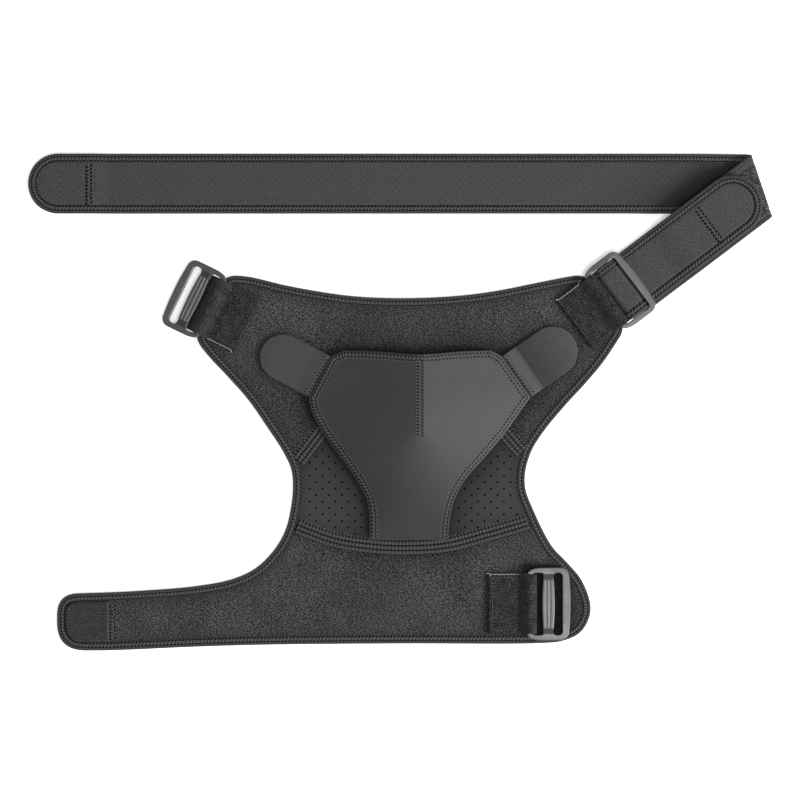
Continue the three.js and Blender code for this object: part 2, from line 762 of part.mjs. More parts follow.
// The leg's side view from the fold to the turned-back end: a is the distance from the
// fold towards the buckle, z the height of the strap's middle.
function legProfile() {
  const points = [];
  const add = (a, z) => points.push(new THREE.Vector2(a, z));
  const arc = (a, z, radius, from, to, steps) => {
    for (let i = 0; i <= steps; i += 1) {
      const angle = (from + ((to - from) * i) / steps) * radians;
      add(a + radius * Math.cos(angle), z + radius * Math.sin(angle));
    }
  };
  const underZ = (a) => {
    const share = smoothStep((a - legDropStart) / legDropLength);
    return upperLegZ + share * (longLegZ - upperLegZ);
  };
  const backZ = (a) => {
    const patch = patchThick + touchGap + touchGap - stackGap;
    const share = smoothStep((legDropStart - 4 - a) / 20);
    return underZ(a) + strapThick + stackGap + share * patch;
  };
  // Bar edges as distances from the fold
  const at = (x) => barFromStart - x;
  const under = highBar - buckleThick / 2 - touchGap - strapThick / 2;
  const over = highBar + buckleThick / 2 + touchGap + strapThick / 2;
  const wideBend = strapThick / 2 + 1;
  const tightBend = strapThick / 2 + 0.7;
  const upright = at(centreStart) + touchGap + strapThick / 2;
  const turn = slotTurn * radians;
  const bendDrop = tightBend * (1 - Math.cos(turn));
  const dive = over - under - 2 * bendDrop;
  const diveRun = 2 * tightBend * Math.sin(turn) + dive / Math.tan(turn);
  const diveStart = at((centreEnd + freeStart) / 2) + diveRun / 2;
  [30, 60].forEach((a) => add(a, upperLegZ));
  for (let i = 0; i <= bendSteps; i += 1) {
    const a = legDropStart + (legDropLength * i) / bendSteps;
    add(a, underZ(a));
  }
  add(at(freeStart) + freeBar * 0.2, longLegZ);
  add(at(centreStart + centreBar * 0.4), under - strapThick * 0.2);
  arc(upright - wideBend, under + wideBend, wideBend, -90, 0, bendSteps);
  arc(upright - wideBend, over - wideBend, wideBend, 0, 90, bendSteps);
  arc(diveStart, over - tightBend, tightBend, 90, 90 + slotTurn, bendSteps);
  arc(diveStart - diveRun, under + tightBend, tightBend, slotTurn - 90, -90, bendSteps);
  const backEnd = barFromStart - (centreStart + centreEnd) / 2 - returnLength;
  add(at(freeEnd + 4), backZ(at(freeEnd + 4)));
  for (let i = bendSteps; i >= 0; i -= 1) {
    const a = legDropStart + (legDropLength * i) / bendSteps;
    add(a, backZ(a));
  }
  [4, 14, 24].forEach((step) => add(legDropStart - step, backZ(legDropStart - step)));
  add(backEnd, backZ(backEnd));
  return points;
}

const leg = (() => {
  const points = legProfile();
  const lengths = [points[0].x];
  for (let i = 1; i < points.length; i += 1) {
    lengths.push(lengths[i - 1] + points[i].distanceTo(points[i - 1]));
  }
  return { points, lengths, total: lengths[lengths.length - 1] };
})();

// Place and direction on the leg's side view after a length from the fold.
function legAt(length) {
  const { points, lengths } = leg;
  if (length <= lengths[0]) return { place: new THREE.Vector2(length, upperLegZ), turn: 0 };
  const found = lengths.findIndex((l) => l >= length);
  const i = found < 1 ? lengths.length - 1 : found;
  const share = Math.min(1, (length - lengths[i - 1]) / (lengths[i] - lengths[i - 1]));
  const side = (k) => {
    const d = points[Math.min(k + 1, points.length - 1)].clone().sub(points[Math.max(k - 1, 0)]);
    const near = points[k].clone().sub(points[Math.max(k - 1, 0)]).normalize();
    const far = points[Math.min(k + 1, points.length - 1)].clone().sub(points[k]).normalize();
    const sum = near.add(far);
    return sum.lengthSq() > 0 ? Math.atan2(sum.y, sum.x) : Math.atan2(d.y, d.x);
  };
  const first = side(i - 1);
  const change = ((side(i) - first + 3 * Math.PI) % (2 * Math.PI)) - Math.PI;
  return { place: points[i - 1].clone().lerp(points[i], share), turn: first + change * share };
}

// Long leg, lifted a little over the hook patch under its round end.
function longLegHeight(s) {
  const share = 1 - smoothStep((s - strapPatchLength - 4) / 16);
  return longLegZ + share * (patchThick + touchGap);
}

function strapPoint(s, w, h) {
  const past = s - strapLongLeg;
  const t = past * foldAlong.x + w * foldAlong.y;
  const d = past * foldAway.x + w * foldAway.y;
  if (d >= Math.PI * foldRadius) {
    const { place, turn } = legAt(past);
    const a = place.x + h * Math.sin(turn);
    const p = legStart.clone().addScaledVector(legAlong, a).addScaledVector(legAcross, w);
    return new THREE.Vector3(p.x, p.y, place.y - h * Math.cos(turn));
  }
  const bend = Math.max(0, d) / foldRadius;
  const away = (d < 0 ? d : foldRadius * Math.sin(bend)) - h * Math.sin(bend);
  const z = longLegHeight(s) + foldRadius * (1 - Math.cos(bend)) + h * Math.cos(bend);
  const p = foldMiddle.clone().addScaledVector(foldAlong, t).addScaledVector(foldAway, away);
  return new THREE.Vector3(p.x, p.y, z);
}

const strapTotal = strapLongLeg + leg.total;

// Stations along the strap between its round ends, each with its slant across.
function strapStations() {
  const stations = [];
  const add = (s, slant = 0) => stations.push({ s, slant });
  [strapHalf, strapPatchLength, strapPatchLength + 8, strapPatchLength + 20].forEach((s) => add(s));
  add(strapLongLeg / 2);
  add(strapLongLeg - 60);
  add(strapLongLeg - 24, foldSkew);
  const wrap = Math.PI * foldRadius / foldAway.x;
  for (let i = 0; i <= foldSteps; i += 1) {
    add(strapLongLeg + (wrap * (i + 0.001)) / foldSteps, foldSkew);
  }
  add(strapLongLeg + wrap + 10, foldSkew);
  leg.lengths.slice(1, -1).forEach((length) => {
    if (length < leg.total - strapHalf - 2) add(strapLongLeg + length);
  });
  add(strapTotal - strapHalf);
  return stations;
}

// Strap core at an inset from its edge: a flat section carried through the stations.
function strapLayer(inset, thick) {
  const half = strapHalf - inset;
  const ring = (s, slant, across) => [
    strapPoint(s - across * slant, -across, -thick / 2),
    strapPoint(s + across * slant, across, -thick / 2),
    strapPoint(s + across * slant, across, thick / 2),
    strapPoint(s - across * slant, -across, thick / 2),
  ];
  const rings = [];
  const angles = [80, 60, 40, 20];
  angles.forEach((angle) => {
    const s = strapHalf - half * Math.sin(angle * radians);
    rings.push(ring(s, 0, half * Math.cos(angle * radians)));
  });
  strapStations().forEach(({ s, slant }) => rings.push(ring(s, slant, half)));
  angles.slice().reverse().forEach((angle) => {
    const s = strapTotal - strapHalf + half * Math.sin(angle * radians);
    rings.push(ring(s, 0, half * Math.cos(angle * radians)));
  });
  return loft(rings);
}

function chestStrap() {
  const grip = strapThick - 2 * (bindingThick + touchGap);
  const core = toSolid(strapLayer(coreInset, strapThick));
  return mesh('chest_strap', toGeometry(core.add(toSolid(strapLayer(edgeInset, grip)))), 'strap', 0.8);
}

function strapBinding() {
  const section = tapeSection(strapThick);
  const rings = [];
  const stations = strapStations();
  const side = (list, sign) => list.forEach(({ s, slant }) => {
    rings.push(section.map(([inset, height]) => {
      const w = sign * (strapHalf - inset);
      return strapPoint(s + w * slant, w, height);
    }));
  });
  const end = (middle, from) => {
    for (let angle = from + 20; angle < from + 170; angle += 20) {
      rings.push(section.map(([inset, height]) => strapPoint(
        middle + (strapHalf - inset) * Math.cos(angle * radians),
        (strapHalf - inset) * Math.sin(angle * radians),
        height,
      )));
    }
  };
  side(stations, -1);
  end(strapTotal - strapHalf, -90);
  side(stations.slice().reverse(), 1);
  end(strapHalf, 90);
  return mesh('strap_binding', loft(rings, true), 'tape');
}

// Hook patches

function cuffHookPatch() {
  const inner = toSolid(slab(offset(bodyOutline, coreInset), onBody, patchThick));
  const box = new THREE.BoxGeometry(2 * cuffPatchLength, bodyHeight / 2, 4 * onBody);
  return mesh('cuff_hook_patch', toGeometry(inner.intersect(toSolid(box))), 'hook');
}

// A plate with a half-round end, kept inside the strap's tape.
function patchPlate(bottom) {
  const radius = strapHalf - coreInset;
  const shape = new THREE.Shape();
  shape.absarc(strapHalf, 0, radius, 90 * radians, 270 * radians);
  shape.lineTo(strapPatchLength, -radius);
  shape.lineTo(strapPatchLength, radius);
  const geometry = new THREE.ExtrudeGeometry(shape, {
    depth: patchThick,
    bevelEnabled: false,
    curveSegments: 10,
  });
  return geometry.translate(0, 0, bottom);
}

function strapHookPatch() {
  const holder = new THREE.Group();
  const start = strapPoint(0, 0, 0);
  holder.position.set(start.x, start.y, 0);
  holder.add(mesh('strap_hook_patch', patchPlate(0), 'hook'));
  return holder;
}

function foldedHookPatch() {
  const holder = new THREE.Group();
  const tip = strapPoint(strapTotal, 0, 0);
  holder.position.set(tip.x, tip.y, 0);
  holder.rotation.z = legHeading;
  holder.add(mesh('folded_hook_patch', patchPlate(upperLegZ + strapThick / 2 + touchGap), 'hook'));
  return holder;
}

function assemble() {
  const brace = new THREE.Group();
  brace.add(yokePanel(), ventPanel(), cuffPanel(), bodyBinding(), shield());
  brace.add(shieldTab('shield_tab_left', 'left', leftTabLength));
  brace.add(shieldTab('shield_tab_right', 'right', rightTabLength));
  const left = leftShoulder;
  const right = rightShoulder;
  brace.add(webbing('webbing_left', left.place, left.heading, shoulderWebbing, lowBar));
  brace.add(buckle('buckle_left', left.place, left.heading, lowBar, restTilt(lowBar, touchGap)));
  brace.add(webbing('webbing_right', right.place, right.heading, shoulderWebbing, highBar));
  brace.add(buckle('buckle_right', right.place, right.heading, highBar, 0));
  brace.add(webbing('webbing_cuff', cuffBar.place, 0, cuffWebbing, lowBar));
  brace.add(buckle('buckle_cuff', cuffBar.place, 0, lowBar, restTilt(lowBar, onBody)));
  brace.add(chestStrap(), strapBinding(), cuffHookPatch(), strapHookPatch(), foldedHookPatch());
  const box = new THREE.Box3().setFromObject(brace, true);
  const middle = box.getCenter(new THREE.Vector3());
  brace.position.set(-middle.x, -middle.y, -box.min.z);
  const centred = new THREE.Group();
  centred.add(brace);
  return centred;
}

export default assemble();
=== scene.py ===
# Shoulder brace laid flat: fabric, tape, stitching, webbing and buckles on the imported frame.
# Shapes are worked out in millimetres and put into the meshes in metres.
import json
import math
import bpy
import numpy as np
from mathutils.geometry import delaunay_2d_cdt
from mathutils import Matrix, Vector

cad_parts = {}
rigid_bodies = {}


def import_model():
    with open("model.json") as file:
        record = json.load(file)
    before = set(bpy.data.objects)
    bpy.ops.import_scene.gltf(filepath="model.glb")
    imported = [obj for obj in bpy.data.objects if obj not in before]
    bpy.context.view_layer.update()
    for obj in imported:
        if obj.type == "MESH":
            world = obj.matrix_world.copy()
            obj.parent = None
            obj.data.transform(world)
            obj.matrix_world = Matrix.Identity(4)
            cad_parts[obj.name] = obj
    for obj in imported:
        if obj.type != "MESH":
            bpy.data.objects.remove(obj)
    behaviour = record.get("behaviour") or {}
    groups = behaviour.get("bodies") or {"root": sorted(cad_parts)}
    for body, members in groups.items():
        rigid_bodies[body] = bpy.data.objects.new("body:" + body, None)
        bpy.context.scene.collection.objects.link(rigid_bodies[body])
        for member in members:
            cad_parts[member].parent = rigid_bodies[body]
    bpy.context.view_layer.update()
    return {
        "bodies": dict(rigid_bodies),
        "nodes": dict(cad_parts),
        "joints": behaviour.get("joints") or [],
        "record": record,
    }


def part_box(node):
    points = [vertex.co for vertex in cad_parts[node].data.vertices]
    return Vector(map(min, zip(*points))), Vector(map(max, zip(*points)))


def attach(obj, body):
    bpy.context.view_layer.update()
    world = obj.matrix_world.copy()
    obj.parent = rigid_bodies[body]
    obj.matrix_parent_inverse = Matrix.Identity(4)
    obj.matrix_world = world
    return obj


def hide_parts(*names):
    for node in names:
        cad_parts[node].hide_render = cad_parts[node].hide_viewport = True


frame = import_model()
scene = bpy.context.scene
rng = np.random.default_rng(11)
mm = 0.001
print("frame loaded")


# Camera, floor and light

stageSpec = {
    "cameraHeight": 2.0, "across": 0.68, "cameraUp": 0.0017, "sensor": 36.0, "skyStrength": 0.55,
    "floorSize": 8.0, "floorDrop": 0.0004, "floorWhite": 0.93, "floorGlow": 0.3,
}
lightSpec = {  # place, size and power
    "keyLight": ((2.4, -1.0, 1.3), 0.9, 122.0),
    "topLight": ((0.5, -0.4, 2.4), 0.8, 24.0),
}


def makeCamera(spec):
    data = bpy.data.cameras.new("viewCamera")
    data.sensor_width = spec["sensor"]
    data.lens = data.sensor_width * spec["cameraHeight"] / spec["across"]
    camera = bpy.data.objects.new("viewCamera", data)
    camera.location = (0.0, spec["cameraUp"], spec["cameraHeight"])
    scene.collection.objects.link(camera)
    scene.camera = camera


def makeLight(name, place, size, power):
    data = bpy.data.lights.new(name, "AREA")
    data.shape = "DISK"
    data.size = size
    data.energy = power
    light = bpy.data.objects.new(name, data)
    light.location = place
    flat = math.hypot(place[0], place[1])
    light.rotation_euler = (math.atan2(flat, place[2]), 0.0, math.atan2(place[0], -place[1]))
    scene.collection.objects.link(light)


makeCamera(stageSpec)
for lightName, settings in lightSpec.items():
    makeLight(lightName, *settings)
world = bpy.data.worlds.new("studio")
world.use_nodes = True
sky = world.node_tree.nodes["Background"].inputs
sky["Color"].default_value = (1.0, 1.0, 1.0, 1.0)
sky["Strength"].default_value = stageSpec["skyStrength"]
scene.world = world
scene.view_settings.view_transform = "Standard"


# Shader maths

class Value:
    # one socket; the operators on it add Math nodes
    def __init__(self, finish, socket):
        self.finish = finish
        self.socket = socket

    def combine(self, operation, first, second):
        return self.finish.node("ShaderNodeMath", {"operation": operation}, {0: first, 1: second})

    def __add__(self, other):
        return self.combine("ADD", self, other)

    def __radd__(self, other):
        return self.combine("ADD", other, self)

    def __sub__(self, other):
        return self.combine("SUBTRACT", self, other)

    def __rsub__(self, other):
        return self.combine("SUBTRACT", other, self)

    def __mul__(self, other):
        return self.combine("MULTIPLY", self, other)

    def __rmul__(self, other):
        return self.combine("MULTIPLY", other, self)

    def __truediv__(self, other):
        return self.combine("DIVIDE", self, other)

    def __pow__(self, other):
        return self.combine("POWER", self, other)


class Finish:
    # a material whose nodes are made by one method
    def __init__(self, name, roughness, specular=0.3, sheen=0.0):
        self.material = bpy.data.materials.new(name)
        self.material.use_nodes = True
        self.tree = self.material.node_tree
        self.shader = self.tree.nodes["Principled BSDF"]
        self.shader.inputs["Roughness"].default_value = roughness
        self.shader.inputs["Specular IOR Level"].default_value = specular
        self.shader.inputs["Sheen Weight"].default_value = sheen
        self.objectPlace = self.node("ShaderNodeTexCoord", {}, {}, "Object")

    def feed(self, socket, value):
        if isinstance(value, Value):
            self.tree.links.new(value.socket, socket)
        else:
            socket.default_value = value

    def node(self, kind, settings, inputs, output=0):
        made = self.tree.nodes.new(kind)
        for key, value in settings.items():
            if key == "stops":
                ramp = made.color_ramp
                while len(ramp.elements) < len(value):
                    ramp.elements.new(0.5)
                for element, (place, level) in zip(ramp.elements, value):
                    element.position = place
                    element.color = (level, level, level, 1.0)
            else:
                setattr(made, key, value)
        for key, value in inputs.items():
            self.feed(made.inputs[key], value)
        return Value(self, made.outputs[output])

    def noise(self, scale, detail=2.0, place=None):
        return self.node("ShaderNodeTexNoise", {}, {
            "Vector": place or self.objectPlace, "Scale": scale, "Detail": detail})

    def ramp(self, value, stops):
        return self.node("ShaderNodeValToRGB", {"stops": stops}, {0: value})

    def mix(self, factor, first, second):
        return self.node("ShaderNodeMix", {"data_type": "RGBA"}, {0: factor, 6: first, 7: second}, 2)

    def wave(self, value):
        return self.node("ShaderNodeMath", {"operation": "SINE"}, {0: value})

    def colour(self, value):
        self.feed(self.shader.inputs["Base Color"], value)
        return self

    def rough(self, value):
        self.feed(self.shader.inputs["Roughness"], value)
        return self

    def bump(self, height, strength, distance):
        bumped = self.node("ShaderNodeBump", {}, {
            "Height": height, "Strength": strength, "Distance": distance})
        self.feed(self.shader.inputs["Normal"], bumped)
        return self


def grey(level, tint=1.0):
    # linear colour of an sRGB grey from 0 to 255, with green held back by the tint
    base = np.array([level, level - tint, level]) / 255.0
    linear = np.where(base > 0.04045, ((base + 0.055) / 1.055) ** 2.4, base / 12.92)
    return (*[float(c) for c in linear], 1.0)


greyLevels = {
    "loopDark": 18, "loopPale": 111, "vent": 54, "ventDark": 46, "knit": 50, "knitDark": 43,
    "knitLitSide": 73, "tab": 54, "tabDark": 50, "tabLitSide": 72, "rib": 74, "ribDark": 44,
    "tape": 58, "tapeDark": 46, "seam": 52, "seamDark": 44, "strap": 66, "strapDark": 48,
    "webPale": 62, "webDark": 8, "hook": 72, "hookDark": 38, "thread": 84, "darkThread": 56,
    "plastic": 62, "plasticShade": 44,
}
finishSpec = {name: grey(level, 2) for name, level in greyLevels.items()}
# near-black of the needle holes, which painted shade also mixes towards
finishSpec.update(needleHole=grey(6, 0), fray=grey(190))


def flatPlace(f, axis):
    flat = f.node("ShaderNodeUVMap", {"uv_map": "flat"}, {})
    return f.node("ShaderNodeSeparateXYZ", {}, {0: flat}, axis)


def bandMask(f, value, centres, width):
    # 1 on each centre line falling to 0 at the width beside it
    total = 0.0
    for centre in centres:
        off = f.node("ShaderNodeMath", {"operation": "ABSOLUTE"}, {0: value - centre})
        total = total + f.node("ShaderNodeMath", {"operation": "SUBTRACT", "use_clamp": True},
                               {0: 1.0, 1: off / width})
    return total


def darkened(f, cloth, share, strength=0.8):
    # mix towards the hole black: painted shade, and the strap's needle holes
    return f.mix(share * strength, cloth, finishSpec["needleHole"])


def knitSpecks(f):
    # crisp grain over slow clouds, and the two as specks from 0 to 1
    grain, clouds = f.noise(1150.0, 2.0), f.noise(16.0, 2.0)
    return grain, clouds, f.ramp(grain * 0.7 + clouds * 0.3, [(0.36, 0.0), (0.64, 1.0)])


def loopFabric(name, dark, pale, share=0.0, paintedShade=True):
    # brushed loops: pale specks over dark, leaning one way, in soft patches; painted shade darkens it
    # where the flat map's first number tells, beside the parts lying on it; slow swells of the cloth
    f = Finish(name, 0.95, 0.06, 0.04)
    leaning = f.node("ShaderNodeMapping", {}, {0: f.objectPlace, 2: (0.0, 0.0, 0.9), 3: (1.0, 1.9, 1.0)})
    fine = f.noise(690.0, 4.0, leaning)
    grain = f.noise(1300.0, 2.0)
    specks = f.ramp(fine * 0.72 + grain * 0.28, [(0.41, 0.0), (0.51, 0.34), (0.62, 1.0)])
    patches = f.ramp(f.noise(26.0, 2.0) * 0.5 + f.noise(9.0, 1.0) * 0.5, [(0.36, 0.5), (0.62, 1.0)])
    cloth = f.mix(specks * (patches * 0.55 + 0.2 + share), dark, pale)
    f.colour(darkened(f, cloth, flatPlace(f, 0)) if paintedShade else cloth)
    return f.bump(fine * 0.0008 + grain * 0.0002 + f.noise(19.0, 1.0) * 0.007, 0.7, 1.0).material


def smoothKnit(name, base, shade):
    # fine even knit, with painted shade where the flat map's first number tells
    f = Finish(name, 0.7, 0.1, 0.05)
    grain, clouds, specks = knitSpecks(f)
    f.colour(darkened(f, f.mix(specks, shade, base), flatPlace(f, 0)))
    return f.bump(grain * 0.00014 + clouds * 0.003, 0.6, 1.0).material


def paintedLightKnit(name, base, shade, pale):
    # the shield's and tabs' knit, with painted light: mixed towards the pale, lit tone as far as the flat
    # map's first number tells
    f = Finish(name, 0.65, 0.12, 0.06)
    grain, clouds, specks = knitSpecks(f)
    f.colour(f.mix(flatPlace(f, 0) * (specks * 0.3 + 0.7), f.mix(specks, shade, base), pale))
    return f.bump(grain * 0.00014 + clouds * 0.003, 0.6, 1.0).material


def ribbedKnit(name, base, shade, pitch):
    # fine ribs across the tab, paler towards its round end
    f = Finish(name, 0.75, 0.12, 0.05)
    along = flatPlace(f, 0)
    grain = f.noise(1150.0, 2.0)
    ribs = f.wave(along * (2 * math.pi / pitch))
    end = f.node("ShaderNodeMath", {"operation": "MULTIPLY", "use_clamp": True}, {0: along, 1: 1 / 60.0})
    f.colour(f.mix(f.ramp(grain * 0.5 + ribs * 0.1 + end * 0.45, [(0.35, 0.0), (0.85, 1.0)]), shade, base))
    return f.bump(grain * 0.5 + ribs * 0.4, 0.4, 0.0004).material


def perforatedKnit(name, base, shade, pitch, beside):
    # the strap's face: fine knit with rows of small needle holes, staggered, on the flat map, and a painted
    # shadow beside the folded leg
    f = Finish(name, 0.75, 0.12, 0.05)
    u, v = flatPlace(f, 0) / pitch, flatPlace(f, 1) / pitch
    across, along = f.wave((u + v) * math.pi), f.wave((u - v) * math.pi)
    dots = f.ramp((across ** 2) * (along ** 2), [(0.84, 0.0), (0.96, 1.0)])
    grain = f.noise(1050.0, 3.0)
    cloth = f.mix(f.ramp(grain, [(0.38, 0.0), (0.62, 1.0)]), shade, base)
    # painted shadow of the folded leg on the long leg's face beside it: line is the distance from its edge
    line = flatPlace(f, 0) * beside[0] + flatPlace(f, 1) * beside[1] + beside[2]
    paintedShade = f.ramp(line * 0.01 + 0.1, [(0.05, 0.0), (0.1, 1.0), (0.2, 0.66), (0.36, 0.3), (0.7, 0.0)])
    f.colour(darkened(f, darkened(f, cloth, paintedShade, 0.84), dots, 0.5))
    return f.bump(grain * 0.00045 - dots * 0.0003 + f.noise(30.0, 1.0) * 0.002, 0.6, 1.0).material


def groovedTape(name, base, shade, centres, width):
    # folded tape or a seam band: knit grain, with painted shade down in its grooves
    f = Finish(name, 0.8, 0.12, 0.05)
    grain = f.noise(900.0, 3.0)
    grooveShade = bandMask(f, flatPlace(f, 1), centres, width)
    cloth = f.mix(f.ramp(grain, [(0.33, 0.0), (0.67, 1.0)]), shade, base)
    f.colour(darkened(f, cloth, grooveShade))
    return f.bump(grain, 0.5, 0.0005).material


def wovenTape(name, dark, pale, pitch):
    # webbing: slanting yarns on the flat map, broken up by noise
    f = Finish(name, 0.85, 0.08, 0.05)
    u, v = flatPlace(f, 0) / pitch, flatPlace(f, 1) / pitch
    twill = f.wave((u + v * 0.5) * 2 * math.pi) * 0.5 + f.wave(v * 2 * math.pi) * 0.5
    fine, blotch = f.noise(820.0, 4.0), f.noise(120.0, 2.0)
    yarn = twill * 0.07 + fine * 0.8 + blotch * 0.2
    f.colour(f.mix(f.ramp(yarn, [(0.36, 0.0), (0.7, 1.0)]), dark, pale))
    return f.bump(twill * 0.00012 + fine * 0.0006, 0.8, 1.0).material


def shaded(base, share):
    return tuple(c * share for c in base[:3]) + (1.0,)


def plainFinish(name, base, roughness, specular, grain, depth=0.0001):
    # one tone with a slight grain
    f = Finish(name, roughness, specular)
    fine = f.noise(grain, 2.0)
    f.colour(f.mix(f.ramp(fine, [(0.3, 0.0), (0.7, 1.0)]), shaded(base, 0.72), base))
    return f.bump(fine, 0.25, depth).material


def satinPlastic(name, base):
    # moulded nylon: a fine satin grain, paler where it is rubbed
    f = Finish(name, 0.4, 0.8)
    fine, slow = f.noise(1000.0, 3.0), f.noise(70.0, 2.0)
    f.colour(f.mix(f.ramp(fine * 0.7 + slow * 0.3, [(0.4, 0.0), (0.6, 1.0)]), shaded(base, 0.62), base))
    f.rough(f.ramp(slow * 0.5 + fine * 0.5, [(0.35, 0.34), (0.65, 0.5)]))
    return f.bump(fine * 0.00006 + slow * 0.0002, 0.6, 1.0).material


ground = Finish("floorWhite", 0.9, 0.1).colour((*[stageSpec["floorWhite"]] * 3, 1.0))
ground.shader.inputs["Emission Color"].default_value = (1.0, 1.0, 1.0, 1.0)
ground.shader.inputs["Emission Strength"].default_value = stageSpec["floorGlow"]
floorFinish = ground.material
loopFinish = loopFabric("loopPile", finishSpec["loopDark"], finishSpec["loopPale"])
strapBackFinish = loopFabric("strapPile", finishSpec["loopDark"], finishSpec["loopPale"], 0.12, False)
ventFinish = smoothKnit("ventKnit", finishSpec["vent"], finishSpec["ventDark"])
shieldFinish = paintedLightKnit("shieldKnit", finishSpec["knit"], finishSpec["knitDark"], finishSpec["knitLitSide"])
tabFinish = paintedLightKnit("tabKnit", finishSpec["tab"], finishSpec["tabDark"], finishSpec["tabLitSide"])
ribFinish = ribbedKnit("tabRibs", finishSpec["rib"], finishSpec["ribDark"], 1.6)
webFinish = wovenTape("webbingWeave", finishSpec["webDark"], finishSpec["webPale"], 1.7)
hookFinish = wovenTape("hookTape", finishSpec["hookDark"], finishSpec["hook"], 1.5)
threadFinish = plainFinish("sewingThread", finishSpec["thread"], 0.75, 0.25, 1500.0)
darkThreadFinish = plainFinish("darkThread", finishSpec["darkThread"], 0.75, 0.25, 1500.0)
holeFinish = plainFinish("needleHoles", finishSpec["needleHole"], 0.95, 0.02, 3000.0)
frayFinish = plainFinish("frayedYarn", finishSpec["fray"], 0.8, 0.2, 3000.0)
plasticFinish = satinPlastic("satinPlastic", finishSpec["plastic"])
plasticShadeFinish = plainFinish("paintedShadePlastic", finishSpec["plasticShade"], 0.6, 0.3, 1000.0, 0.00006)
print("finishes made")


# Mesh helpers

def gridFaces(rows, columns, closeRows=False, closeColumns=False):
    # quads between neighbours on a grid of points numbered row by row
    i = np.arange(rows if closeRows else rows - 1)[:, None]
    j = np.arange(columns if closeColumns else columns - 1)[None, :]
    down, right = (i + 1) % rows, (j + 1) % columns
    corners = [i * columns + j, i * columns + right, down * columns + right, down * columns + j]
    return np.stack([np.broadcast_to(c, (i.size, j.size)) for c in corners], -1).reshape(-1, 4)


def enclosedVolume(points, faces):
    # sum of the tetrahedra from the origin to each face's fan of triangles
    total = 0.0
    for corners in faces:
        for k in range(1, corners.shape[1] - 1):
            a, b, c = (points[corners[:, n]] for n in (0, k, k + 1))
            total += np.einsum("ij,ij->i", a, np.cross(b, c)).sum()
    return total


def putMesh(name, points, faces, finishes, faceFinish=None, flat=None, smooth=True):
    # points in millimetres; faces is a list of index arrays, turned outward together
    if enclosedVolume(points, faces) < 0:
        faces = [f[:, ::-1] for f in faces]
    mesh = bpy.data.meshes.new(name)
    mesh.vertices.add(len(points))
    mesh.vertices.foreach_set("co", (points * mm).astype(np.float32).ravel())
    loops = np.concatenate([f.ravel() for f in faces])
    sizes = np.concatenate([np.full(len(f), f.shape[1]) for f in faces])
    mesh.loops.add(len(loops))
    mesh.loops.foreach_set("vertex_index", loops.astype(np.int32))
    mesh.polygons.add(len(sizes))
    starts = np.concatenate([[0], np.cumsum(sizes)[:-1]])
    mesh.polygons.foreach_set("loop_start", starts.astype(np.int32))
    mesh.polygons.foreach_set("use_smooth", np.full(len(sizes), smooth))
    if faceFinish is not None:
        mesh.polygons.foreach_set("material_index", np.concatenate(faceFinish).astype(np.int32))
    mesh.update(calc_edges=True)
    if flat is not None:
        layer = mesh.uv_layers.new(name="flat")
        layer.data.foreach_set("uv", flat[loops].astype(np.float32).ravel())
    mesh.validate()
    for finish in finishes if isinstance(finishes, (list, tuple)) else [finishes]:
        mesh.materials.append(finish)
    piece = bpy.data.objects.new(name, mesh)
    scene.collection.objects.link(piece)
    return piece


def tubes(paths, radius, sides=5):
    # round threads: a ring about every point of each path, paths as (count, steps, 3)
    count, steps = paths.shape[:2]
    along = np.gradient(paths, axis=1)
    along /= np.linalg.norm(along, axis=2, keepdims=True) + 1e-9
    up = np.zeros_like(along)
    up[..., 2] = 1.0
    side = np.cross(along, up)
    side /= np.linalg.norm(side, axis=2, keepdims=True) + 1e-9
    up = np.cross(side, along)
    angle = np.linspace(0, 2 * np.pi, sides, endpoint=False)
    ring = side[:, :, None] * np.cos(angle)[:, None] + up[:, :, None] * np.sin(angle)[:, None]
    points = (paths[:, :, None] + ring * radius).reshape(-1, 3)
    skin = gridFaces(steps, sides, closeColumns=True)
    starts = (np.arange(count) * steps * sides)[:, None, None]
    quads = (skin[None] + starts).reshape(-1, 4)
    first = starts[:, 0] + np.arange(sides)[None, ::-1]
    last = starts[:, 0] + (steps - 1) * sides + np.arange(sides)[None]
    return points, [quads, np.concatenate([first, last])]


def buttons(centres, radius, height, sides=6):
    # flat lens on each centre: a ring with a point above and one below
    angle = np.linspace(0, 2 * np.pi, sides, endpoint=False)
    ring = np.stack([np.cos(angle) * radius, np.sin(angle) * radius, np.zeros(sides)], -1)
    lens = np.concatenate([ring, [[0, 0, height], [0, 0, -height]]])
    points = (centres[:, None] + lens[None]).reshape(-1, 3)
    k = np.arange(sides)
    nextK = (k + 1) % sides
    cap = np.stack([k, nextK, np.full(sides, sides)], -1)
    base = np.stack([nextK, k, np.full(sides, sides + 1)], -1)
    starts = (np.arange(len(centres)) * (sides + 2))[:, None, None]
    return points, [(np.concatenate([cap, base])[None] + starts).reshape(-1, 3)]


def joined(parts):
    # several (points, faces) sets as one
    points, faces, shift = [], [], 0
    for somePoints, someFaces in parts:
        points.append(somePoints)
        faces += [f + shift for f in someFaces]
        shift += len(somePoints)
    return np.concatenate(points), faces


def closedSheet(top, under):
    # upper and lower grids joined by a wall round the rim
    rows, columns = top.shape[:2]
    faces, count = gridFaces(rows, columns), rows * columns
    ringIndex = np.concatenate([np.arange(columns), np.arange(2, rows + 1) * columns - 1,
                                np.arange(columns - 2, -1, -1) + columns * (rows - 1),
                                np.arange(rows - 2, 0, -1) * columns])
    nextIndex = np.roll(ringIndex, -1)
    wall = np.stack([nextIndex, ringIndex, ringIndex + count, nextIndex + count], -1)
    points = np.vstack([top.reshape(-1, 3), under.reshape(-1, 3)])
    return points, [faces, faces[:, ::-1] + count, wall]


